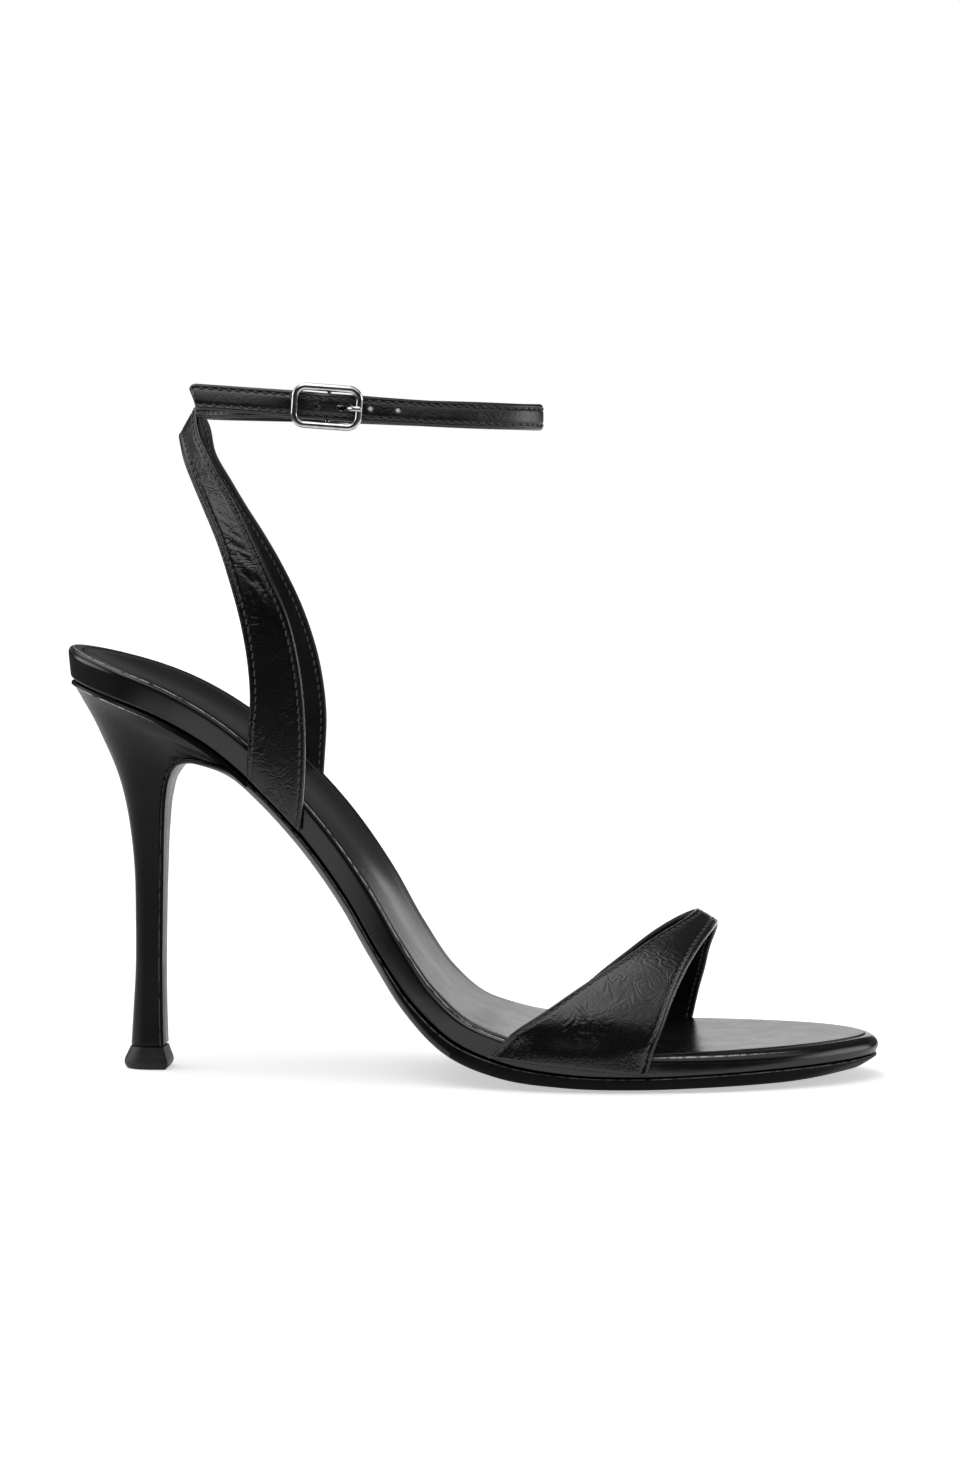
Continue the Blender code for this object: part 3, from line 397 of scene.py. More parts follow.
class SideLine:
    """A side-view curve with its length, heading and upward normal at each place on it."""

    def __init__(self, points: npt.ArrayLike, lean: float = 0.0, lean_run: float = 1.0) -> None:
        """Samples a smooth curve finely.

        Args:
            points: Points (x, z) that the curve passes through.
            lean: Backward lean of the normals at the start of the curve.
            lean_run: Distance over which the normals turn from that lean to square.
        """
        self.lean = lean
        self.lean_run = lean_run
        knots = chord_knots(points)
        self.fine = through(knots, points, np.linspace(0.0, knots[-1], LINE_SAMPLES))
        self.run = chord_knots(self.fine)
        self.length = float(self.run[-1])
        self.heading = unit(np.gradient(self.fine, self.run, axis=0))

    def at(self, s: Array) -> Array:
        """Point (x, z) at distance s."""
        return along_line(self.fine, self.run, s)

    def normal(self, s: Array) -> Array:
        """Upward normal (x, z) at distance s, turned smoothly from the lean at the start."""
        t = unit(along_line(self.heading, self.run, s))
        square = np.stack([-t[..., 1], t[..., 0]], -1)
        if self.lean == 0.0:
            return square
        share = smooth_step(s, 0.0, self.lean_run)[..., None]
        return unit(share * square + (1.0 - share) * np.array([self.lean, 1.0]))

    def place(self, x: npt.ArrayLike, z: npt.ArrayLike) -> Array:
        """Distance along the curve of the fine point nearest to (x, z)."""
        x = np.atleast_1d(x)
        z = np.atleast_1d(z)
        off = (self.fine[None, :, 0] - x[:, None]) ** 2 + (self.fine[None, :, 1] - z[:, None]) ** 2
        return self.run[np.argmin(off, axis=1)]

    def lift(self, s: Array, y: Array, height: Array) -> Array:
        """Points in space from distance along, sideways place and height above the curve."""
        p = self.at(s) + self.normal(s) * np.asarray(height)[..., None]
        return np.stack([p[..., 0], np.broadcast_to(y, p[..., 0].shape), p[..., 1]], -1)


class Ring(NamedTuple):
    """One ring of a sole-shaped piece.

    It has an inset from the outline, a share of the way from the axis, a height, and a distance from the
    nearest cut edge or painted highlight line.
    """

    inset: float | Array
    share: float
    height: Height
    edge: float | Array = FAR_FROM_EDGE


@dataclass
class Last:
    """The form that sole and straps share: side line, widths and heights of the platform."""

    rows: tuple[SoleRow, ...] = SOLE
    heel_lean: float = -0.07
    heel_lean_run: float = 34.0
    axis_inset_heel: float = 21.0
    axis_inset_toe: float = 26.0
    least_reach: float = 5.0
    line: SideLine = field(init=False)
    places: Array = field(init=False)

    def __post_init__(self) -> None:
        """Works out the side line and the distance of each station on it."""
        points = [(row.along, row.height) for row in self.rows]
        self.line = SideLine(points, self.heel_lean, self.heel_lean_run)
        self.places = self.line.place([p[0] for p in points], [p[1] for p in points])

    def column(self, name: str, s: Array) -> Array:
        """One column of the sole table at distance s."""
        return through(self.places, [getattr(row, name) for row in self.rows], s)[:, 0]

    def half_width(self, side: Side, s: Array) -> Array:
        """Half width at distance s. Its square is carried through the rows, so both ends close round."""
        name = side.name.lower()
        square = through(self.places, [getattr(row, name) ** 2 for row in self.rows], s)[:, 0]
        return np.sqrt(np.maximum(square, 0.0))

    def middle(self, s: Array) -> Array:
        """Sideways place of the middle line at distance s."""
        return 0.5 * (self.half_width(Side.MEDIAL, s) - self.half_width(Side.LATERAL, s))

    def rim(self, s: Array, y: Array) -> Array:
        """Height of the platform's rim. It rises with the square of the way to its medial edge."""
        middle = self.middle(s)
        reach = np.maximum(self.half_width(Side.MEDIAL, s) - middle, self.least_reach)
        share = np.clip((y - middle) / reach, 0.0, 1.0)
        return self.column("platform", s) + self.column("rise", s) * share**2

    def outline(self, stations: int) -> tuple[Array, Array]:
        """Closed outline in (distance, sideways) and the axis point of each of its points.

        Args:
            stations: Number of steps along each side, drawn together at both ends by a cosine.

        Returns:
            The outline from the rear up the lateral side and back, and its axis points.
        """
        u = np.linspace(0.0, 1.0, stations + 1)[1:-1]
        s = self.line.length * (0.5 - 0.5 * np.cos(math.pi * u))
        low = np.stack([s, -self.half_width(Side.LATERAL, s)], -1)
        high = np.stack([s, self.half_width(Side.MEDIAL, s)], -1)[::-1]
        outline = np.concatenate([[[0.0, 0.0]], low, [[self.line.length, 0.0]], high])
        inner = np.clip(outline[:, 0], self.axis_inset_heel, self.line.length - self.axis_inset_toe)
        return outline, np.stack([inner, self.middle(inner)], -1)


class MeshDraft:
    """Grids of points gathered into one mesh."""

    def __init__(self) -> None:
        """Starts with no points."""
        self.points: list[Array] = []
        self.quads: list[npt.NDArray[np.int64]] = []
        self.finishes: list[npt.NDArray[np.int64]] = []
        self.edges: list[Array] = []
        self.count = 0

    def add(
        self, grid: Array, wrap: bool = False, finish: npt.ArrayLike = 0, edge: npt.ArrayLike = FAR_FROM_EDGE
    ) -> None:
        """Adds one grid, or many of the same size, with a quad between neighbouring points.

        Args:
            grid: Points of shape (rows, columns, 3), or with more dimensions before these for many grids.
            wrap: True joins the last column to the first.
            finish: Number of the material, one for all quads or one for each.
            edge: Distance of each point from the nearest cut edge or painted highlight line.
        """
        rows, columns = grid.shape[-3:-1]
        lengthwise = np.arange(columns if wrap else columns - 1)
        r, c = np.meshgrid(np.arange(rows - 1), lengthwise, indexing="ij")
        d = (c + 1) % columns
        quad = np.stack([r * columns + c, r * columns + d, (r + 1) * columns + d, (r + 1) * columns + c], -1)
        many = grid.size // (3 * rows * columns)
        starts = self.count + np.arange(many) * rows * columns
        self.quads.append((quad.reshape(1, -1, 4) + starts[:, None, None]).reshape(-1, 4))
        self.finishes.append(np.tile(np.broadcast_to(finish, quad.shape[:2]).reshape(-1), many))
        self.points.append(grid.reshape(-1, 3))
        self.edges.append(np.broadcast_to(edge, grid.shape[:-1]).reshape(-1))
        self.count += grid.size // 3

    def add_rings(
        self, line: SideLine, outline: Array, axis: Array, rings: Sequence[Ring], finish: npt.ArrayLike = 0
    ) -> None:
        """Adds rings of a closed outline, stacked in space.

        Formula: the outline is moved in along its own normals, drawn to the axis so that a share of the way
        is left, and lifted from the side line by the ring's height at each place, but never below the floor.

        Args:
            line: Side line that distances are measured along.
            outline: Closed outline in (distance, sideways), its inside on the left.
            axis: Point of the middle line that each outline point draws in to.
            rings: The rings in order.
            finish: Number of the material, one for all quads or one for each.
        """
        heading = unit(np.roll(outline, -1, axis=0) - np.roll(outline, 1, axis=0))
        outward = np.stack([heading[:, 1], -heading[:, 0]], -1)
        stacked = []
        for ring in rings:
            inset = np.broadcast_to(ring.inset, len(outline))[:, None]
            flat = axis + (outline - outward * inset - axis) * ring.share
            stacked.append(line.lift(flat[:, 0], flat[:, 1], ring.height(flat[:, 0], flat[:, 1])))
        grid = np.array(stacked)
        grid[..., 2] = np.maximum(grid[..., 2], 0.0)
        edge = np.array([np.broadcast_to(ring.edge, len(outline)) for ring in rings])
        self.add(grid, wrap=True, finish=finish, edge=edge)

    def mesh(self, name: str) -> bpy.types.Mesh:
        """The mesh in the row frame, with seams and poles welded and faces turned out."""
        points = (np.concatenate(self.points) - (ORIGIN_ALONG, 0.0, 0.0)) * MM
        quads = np.concatenate(self.quads)
        mesh = bpy.data.meshes.new(name)
        mesh.vertices.add(len(points))
        mesh.vertices.foreach_set("co", points.astype(np.float32).ravel())
        mesh.loops.add(quads.size)
        mesh.loops.foreach_set("vertex_index", quads.astype(np.int32).ravel())
        mesh.polygons.add(len(quads))
        mesh.polygons.foreach_set("loop_start", np.arange(0, quads.size, 4, dtype=np.int32))
        mesh.polygons.foreach_set("material_index", np.concatenate(self.finishes).astype(np.int32))
        mesh.update(calc_edges=True)
        layer = mesh.attributes.new("edge_mm", "FLOAT", "POINT")
        layer.data.foreach_set("value", np.concatenate(self.edges).astype(np.float32))
        shaped = bmesh.new()
        shaped.from_mesh(mesh)
        bmesh.ops.remove_doubles(shaped, verts=shaped.verts, dist=WELD)
        bmesh.ops.dissolve_degenerate(shaped, edges=shaped.edges, dist=WELD)
        bmesh.ops.recalc_face_normals(shaped, faces=shaped.faces)
        shaped.to_mesh(mesh)
        shaped.free()
        return mesh

    def piece(
        self, name: str, node: str, materials: Sequence[bpy.types.Material], sharp: float = 48.0
    ) -> Piece:
        """Makes the piece of the shoe and ties it to the frame.

        Args:
            name: Name of the new object.
            node: Solid that it stands for, which is also its material slot in the record.
            materials: Materials in the order of the finish numbers.
            sharp: Angle in degrees above which an edge stays sharp.

        Returns:
            The new object.
        """
        mesh = self.mesh(name)
        obj = placed(name, mesh)
        for material in materials:
            mesh.materials.append(material)
        mesh.shade_smooth()
        mesh.set_sharp_from_angle(angle=math.radians(sharp))
        return tie(obj, node)


def placed(name: str, data: bpy.types.ID) -> Piece:
    """A new object of that name in the scene."""
    obj = bpy.data.objects.new(name, data)
    bpy.context.scene.collection.objects.link(obj)
    return obj


def tie(obj: Piece, node: str) -> Piece:
    """Lets a piece ride on the shoe in place of a solid, and reports it."""
    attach(obj, "root")
    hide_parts(node)
    LOG.info("%s for %s: %d faces", obj.name, node, len(obj.data.polygons))
    return obj


class Graph:
    """Adds nodes to a node tree and joins them."""

    def __init__(self, tree: bpy.types.NodeTree) -> None:
        """Works on that tree."""
        self.tree = tree

    def feed(self, node: bpy.types.Node, inputs: dict) -> None:
        """Joins a socket to each input, by name or number, or sets the input's value."""
        for key, value in inputs.items():
            if isinstance(value, Socket):
                self.tree.links.new(value, node.inputs[key])
            else:
                node.inputs[key].default_value = value

    def node(self, kind: str, inputs: dict | None = None, **settings: object) -> bpy.types.Node:
        """Adds a node.

        Args:
            kind: Blender's name of the node type.
            inputs: For each input, by name or number, a socket to join or a value to set.
            settings: Properties of the node.

        Returns:
            The new node.
        """
        made = self.tree.nodes.new(kind)
        for name, value in settings.items():
            setattr(made, name, value)
        self.feed(made, inputs or {})
        return made

    def place(self) -> Socket:
        """Object coordinates of the surface."""
        return self.node("ShaderNodeTexCoord").outputs["Object"]

    def axes(self, vector: Socket) -> Sequence[Socket]:
        """The three parts of a vector."""
        return self.node("ShaderNodeSeparateXYZ", {0: vector}).outputs

    def scaled(self, vector: Socket, factor: float) -> Socket:
        """The vector times a factor."""
        return self.node("ShaderNodeVectorMath", {0: vector, "Scale": factor}, operation="SCALE").outputs[0]

    def math(self, operation: str, *values: object) -> Socket:
        """Result of a Math node on those values."""
        return self.node("ShaderNodeMath", dict(enumerate(values)), operation=operation).outputs[0]

    def noise(self, vector: Socket, scale: object, detail: float = 2.0, twist: float = 0.0) -> Socket:
        """Noise between 0 and 1 with that many features to a unit."""
        values = {"Vector": vector, "Scale": scale, "Detail": detail, "Distortion": twist}
        return self.node("ShaderNodeTexNoise", values).outputs[0]

    def ramp(self, value: object, low: float, high: float, start: float = 0.0, end: float = 1.0) -> Socket:
        """S-shaped change from start to end as the value goes from low to high."""
        values = {"Value": value, "From Min": low, "From Max": high, "To Min": start, "To Max": end}
        return self.node("ShaderNodeMapRange", values, interpolation_type="SMOOTHSTEP").outputs[0]

    def mix(self, share: object, first: object, second: object) -> Socket:
        """Colour mixed from two by a share."""
        return self.node("ShaderNodeMix", {0: share, 6: first, 7: second}, data_type="RGBA").outputs[2]


class Effect(Enum):
    """Shader groups that several materials share."""

    GRAIN = "leather_grain"
    WEAR_AND_HIGHLIGHT = "rubbed_edge_highlight_and_dust"


def new_group(effect: Effect, inputs: dict[str, float], outputs: Sequence[str]) -> bpy.types.NodeTree:
    """Makes an empty group with a Vector input, float inputs with their defaults and float outputs."""
    group = bpy.data.node_groups.new(effect.value, "ShaderNodeTree")
    group.interface.new_socket("Vector", in_out="INPUT", socket_type="NodeSocketVector")
    for name, value in inputs.items():
        socket = group.interface.new_socket(name, in_out="INPUT", socket_type="NodeSocketFloat")
        socket.default_value = value
    for name in outputs:
        group.interface.new_socket(name, in_out="OUTPUT", socket_type="NodeSocketFloat")
    return group


@cache
def grain_group() -> bpy.types.NodeTree:
    """Leather grain, built once.

    Formula: contour lines of a slow noise give fingerprint wrinkles, a folded fine noise gives short creases
    and cells give pores. A broad noise lets the wrinkles come and go in patches.

    Returns:
        The group, with outputs Height, Tone and Gloss between 0 and 1.
    """
    wrinkle_lines = 26.0
    wrinkle_part = 0.55
    crease_part = 0.50
    pore_part = 0.30
    least_patch = 0.25
    tone_per_mm = 0.045
    gloss_per_mm = 0.16
    gloss_slow = 0.7
    gloss_fine = 0.3
    sizes = {"Wrinkle mm": 6.0, "Crease mm": 1.1, "Pore mm": 0.4, "Wrinkle Share": 0.5, "Patch mm": 16.0}
    group = new_group(Effect.GRAIN, sizes, ("Height", "Tone", "Gloss"))
    graph = Graph(group)
    given = graph.node("NodeGroupInput").outputs
    place = graph.scaled(given["Vector"], 1.0 / MM)
    per_mm = {name: graph.math("DIVIDE", 1.0, given[name]) for name in sizes if name.endswith("mm")}
    slow = graph.noise(place, per_mm["Wrinkle mm"], 1.0, 0.6)
    wrinkle = graph.math("ABSOLUTE", graph.math("SINE", graph.math("MULTIPLY", slow, wrinkle_lines)))
    fine = graph.noise(place, per_mm["Crease mm"], 2.0, 0.8)
    crease = graph.math("ABSOLUTE", graph.math("MULTIPLY_ADD", fine, 2.0, -1.0))
    cells = {"Vector": place, "Scale": per_mm["Pore mm"]}
    pore = graph.node("ShaderNodeTexVoronoi", cells, feature="SMOOTH_F1").outputs[0]
    patch = graph.ramp(graph.noise(place, per_mm["Patch mm"], 1.0), 0.38, 0.60, least_patch, 1.0)
    wrinkles = graph.math("MULTIPLY", wrinkle, wrinkle_part)
    lines = graph.math("ADD", wrinkles, graph.math("MULTIPLY", crease, crease_part))
    raised = graph.math("MULTIPLY", graph.math("MULTIPLY", lines, patch), given["Wrinkle Share"])
    height = graph.math("ADD", raised, graph.math("MULTIPLY", pore, pore_part))
    tone = graph.noise(place, tone_per_mm, 3.0)
    broad = graph.math("MULTIPLY", graph.noise(place, gloss_per_mm, 3.0), gloss_slow)
    gloss = graph.math("ADD", broad, graph.math("MULTIPLY", fine, gloss_fine))
    graph.node("NodeGroupOutput", {"Height": height, "Tone": tone, "Gloss": gloss})
    return group


@cache
def wear_and_highlight_group() -> bpy.types.NodeTree:
    """Edge rubbing, painted highlight lines and dust, built once.

    Formula: the mask falls inwards from the line that a piece measures from, a worn cut edge on some pieces
    and a painted highlight line on others, and is broken up by noise. Dust is a thin fleck of fine noise
    that comes and goes in patches.

    Returns:
        The group, with an output for the edge rubbing and painted highlight mask and one for dust, between 0
        and 1.
    """
    breaks_per_mm = 0.55
    clouds_per_mm = 0.07
    sizes = {"Edge mm": FAR_FROM_EDGE, "Reach mm": 0.7, "Speck mm": 0.5}
    group = new_group(Effect.WEAR_AND_HIGHLIGHT, sizes, ("Rub And Highlight", "Dust"))
    graph = Graph(group)
    given = graph.node("NodeGroupInput").outputs
    place = graph.scaled(given["Vector"], 1.0 / MM)
    # Mask from the piece's edge distance: edge rubbing on straps, sock and top piece, a painted highlight
    # line on the wrap, heel cover and sole edge.
    near = graph.math("SUBTRACT", 1.0, graph.math("DIVIDE", given["Edge mm"], given["Reach mm"]))
    broken = graph.ramp(graph.noise(place, breaks_per_mm, 3.0), 0.30, 0.62)
    rub_and_highlight = graph.math("MULTIPLY", graph.math("MAXIMUM", near, 0.0), broken)
    specks = graph.noise(place, graph.math("DIVIDE", 1.0, given["Speck mm"]), 2.0)
    cloud = graph.ramp(graph.noise(place, clouds_per_mm, 2.0), 0.45, 0.70)
    dust = graph.math("MULTIPLY", graph.ramp(specks, 0.60, 0.74), cloud)
    graph.node("NodeGroupOutput", {"Rub And Highlight": rub_and_highlight, "Dust": dust})
    return group


@dataclass(frozen=True)
class Finish:
    """A finish, with a material of its name."""

    name: str

    @cache
    def material(self) -> bpy.types.Material:
        """The material of this finish, made once."""
        material = bpy.data.materials.new(self.name)
        material.use_nodes = True
        graph = Graph(material.node_tree)
        graph.feed(material.node_tree.nodes["Principled BSDF"], self.looks(graph))
        return material

    def looks(self, graph: Graph) -> dict:
        """Socket or value for each input of the shader that the finish sets."""
        raise NotImplementedError


@dataclass(frozen=True)
class LeatherFinish(Finish):
    """A dyed leather: colours, gloss and the size and depth of its grain.

    Cut edges take a worn colour; on the wrap, heel cover and sole edge that colour is a pale painted
    highlight line.
    Below smooth_mm the wrinkles calm down.
    """

    dye: Colour = (0.0026, 0.0025, 0.0026)
    faded: Colour = (0.0046, 0.0044, 0.0044)
    # Colour of worn cut edges, and on the wrap, heel cover and sole edge the colour of a painted highlight
    # line.
    rub_and_highlight_colour: Colour = (0.022, 0.021, 0.020)
    dusty: Colour = (0.060, 0.058, 0.055)
    glossy: float = 0.20
    matt: float = 0.32
    specular: float = 0.68
    wrinkle_mm: float = 6.0
    crease_mm: float = 1.1
    pore_mm: float = 0.4
    wrinkle_share: float = 0.5
    patch_mm: float = 16.0
    smooth_mm: float = -20.0
    calm_run: float = 11.0
    calm_share: float = 0.15
    grain_mm: float = 0.03
    # Reach and share of that colour, from the worn edge and from the painted highlight line alike.
    rub_and_highlight_mm: float = 0.6
    rub_and_highlight_share: float = 0.5
    dust_share: float = 0.12

    def looks(self, graph: Graph) -> dict:
        """Grain, worn edges, painted highlight lines and dust over the dye."""
        place = graph.place()
        low = self.smooth_mm * MM
        calm = self.calm_share * self.wrinkle_share
        share = graph.ramp(graph.axes(place)[2], low, low + self.calm_run * MM, calm, self.wrinkle_share)
        sizes = {"Vector": place, "Wrinkle mm": self.wrinkle_mm, "Crease mm": self.crease_mm}
        sizes |= {"Pore mm": self.pore_mm, "Wrinkle Share": share, "Patch mm": self.patch_mm}
        grain = graph.node("ShaderNodeGroup", sizes, node_tree=grain_group()).outputs
        edge = graph.node("ShaderNodeAttribute", attribute_name="edge_mm").outputs["Fac"]
        reach = {"Vector": place, "Edge mm": edge, "Reach mm": self.rub_and_highlight_mm}
        wear_and_highlight = graph.node("ShaderNodeGroup", reach, node_tree=wear_and_highlight_group()).outputs
        colour = graph.mix(grain["Tone"], (*self.dye, 1.0), (*self.faded, 1.0))
        # Worn edges on most finishes; a painted highlight line on the wrap, heel cover and sole edge.
        rub_and_highlight = graph.math("MULTIPLY", wear_and_highlight["Rub And Highlight"], self.rub_and_highlight_share)
        colour = graph.mix(rub_and_highlight, colour, (*self.rub_and_highlight_colour, 1.0))
        dust = graph.math("MULTIPLY", wear_and_highlight["Dust"], self.dust_share)
        raised = {"Strength": 1.0, "Distance": self.grain_mm * MM, "Height": grain["Height"]}
        return {
            "Base Color": graph.mix(dust, colour, (*self.dusty, 1.0)),
            "Roughness": graph.ramp(grain["Gloss"], 0.30, 0.70, self.glossy, self.matt),
            "Normal": graph.node("ShaderNodeBump", raised).outputs["Normal"],
            "Specular IOR Level": self.specular,
        }


@dataclass(frozen=True)
class MetalFinish(Finish):
    """A polished plated wire with fine handling marks."""

    plate: Colour = (0.80, 0.79, 0.77)
    dull: Colour = (0.62, 0.61, 0.60)
    polished: float = 0.07
    handled: float = 0.20
    mark_mm: float = 0.012
    mark_scale: Point = (600.0, 2600.0, 2600.0)
    cloud_scale: float = 420.0

    def looks(self, graph: Graph) -> dict:
        """Plate that is dulled in clouds, with marks drawn out along the strap."""
        place = graph.place()
        stretched = graph.node("ShaderNodeMapping", {"Vector": place, "Scale": self.mark_scale}).outputs[0]
        marks = graph.noise(stretched, 1.0, 3.0)
        cloud = graph.ramp(graph.noise(place, self.cloud_scale, 2.0), 0.35, 0.72)
        raised = {"Strength": 0.5, "Distance": self.mark_mm * MM, "Height": marks}
        return {
            "Base Color": graph.mix(cloud, (*self.plate, 1.0), (*self.dull, 1.0)),
            "Roughness": graph.ramp(marks, 0.40, 0.75, self.polished, self.handled),
            "Normal": graph.node("ShaderNodeBump", raised).outputs["Normal"],
            "Metallic": 1.0,
        }


VAMP_LEATHER = LeatherFinish(
    "vamp_leather", glossy=0.15, matt=0.23, wrinkle_mm=6.0, wrinkle_share=0.9, patch_mm=14.0, grain_mm=0.12,
    smooth_mm=7.0,
)
STRAP_LEATHER = LeatherFinish(
    "strap_leather", glossy=0.16, matt=0.25, wrinkle_mm=4.9, wrinkle_share=0.9, patch_mm=11.0, grain_mm=0.09,
)
LINING_LEATHER = LeatherFinish(
    "lining_leather", (0.0040, 0.0039, 0.0038), (0.0070, 0.0066, 0.0064), glossy=0.40, matt=0.56,
    specular=0.4, wrinkle_share=0.35,
)
# Its pale edge colour is a painted highlight: a thin bright line along the rim's rounding.
WRAP_LEATHER = LeatherFinish(
    "wrap_leather", rub_and_highlight_colour=(0.86, 0.85, 0.83), glossy=0.13, matt=0.19, wrinkle_share=0.12, pore_mm=0.3,
    grain_mm=0.006, rub_and_highlight_mm=0.30, rub_and_highlight_share=0.9,
)
# Its pale edge colour is a painted highlight: a thin bright line on the lip under the groove.
HEEL_LEATHER = LeatherFinish(
    "heel_leather", rub_and_highlight_colour=(0.86, 0.85, 0.83), glossy=0.22, matt=0.30, specular=0.21, wrinkle_share=0.12,
    pore_mm=0.3, grain_mm=0.010, rub_and_highlight_mm=0.5, rub_and_highlight_share=0.95,
)
ANKLE_LEATHER = LeatherFinish(
    "ankle_leather", glossy=0.27, matt=0.38, specular=0.85, wrinkle_mm=4.5, wrinkle_share=0.8, patch_mm=9.0,
    grain_mm=0.07,
)
SOCK_LEATHER = LeatherFinish(
    "sock_leather", (0.0040, 0.0039, 0.0038), (0.0070, 0.0067, 0.0065), glossy=0.23, matt=0.28,
    specular=0.55, wrinkle_share=0.15, grain_mm=0.004, patch_mm=30.0, rub_and_highlight_share=0.2, dust_share=0.15,
)
SOLE_LEATHER = LeatherFinish(
    "sole_leather", (0.0050, 0.0048, 0.0047), (0.0090, 0.0086, 0.0083), glossy=0.22, matt=0.36,
    specular=0.5, wrinkle_share=0.15, grain_mm=0.014, rub_and_highlight_share=0.0, dust_share=0.25,
)
# Its pale edge colour is a painted highlight: a thin light line along the sole's top corner.
SOLE_EDGE = LeatherFinish(
    "sole_edge_paint", (0.0024, 0.0023, 0.0023), (0.0040, 0.0038, 0.0038), (0.36, 0.35, 0.34), glossy=0.30,
    matt=0.42, specular=0.12, wrinkle_share=0.15, grain_mm=0.02, rub_and_highlight_mm=0.3, rub_and_highlight_share=0.6, dust_share=0.1,
)
TOP_PIECE_PLASTIC = LeatherFinish(
    "top_piece_plastic", (0.0050, 0.0048, 0.0048), (0.0090, 0.0086, 0.0086), glossy=0.36, matt=0.50,
    specular=0.45, wrinkle_share=0.05, pore_mm=0.25, grain_mm=0.012, rub_and_highlight_share=0.5, dust_share=0.3,
)
STRAP_THREAD = LeatherFinish(
    "strap_thread", (0.034, 0.0333, 0.033), (0.058, 0.057, 0.056), glossy=0.36, matt=0.5, wrinkle_share=0.1,
    crease_mm=0.3, pore_mm=0.14, grain_mm=0.03, rub_and_highlight_share=0.0,
)
# A pale disc of painted light in two of the holes: it stands for the white backdrop seen through them.
PAINTED_HOLE_LIGHT = LeatherFinish(
    "painted_hole_light", (0.80, 0.79, 0.77), (0.92, 0.91, 0.89), glossy=0.7, matt=0.9, wrinkle_share=0.2,
    rub_and_highlight_share=0.0, dust_share=0.0,
)
PLATED_WIRE = MetalFinish("plated_wire")


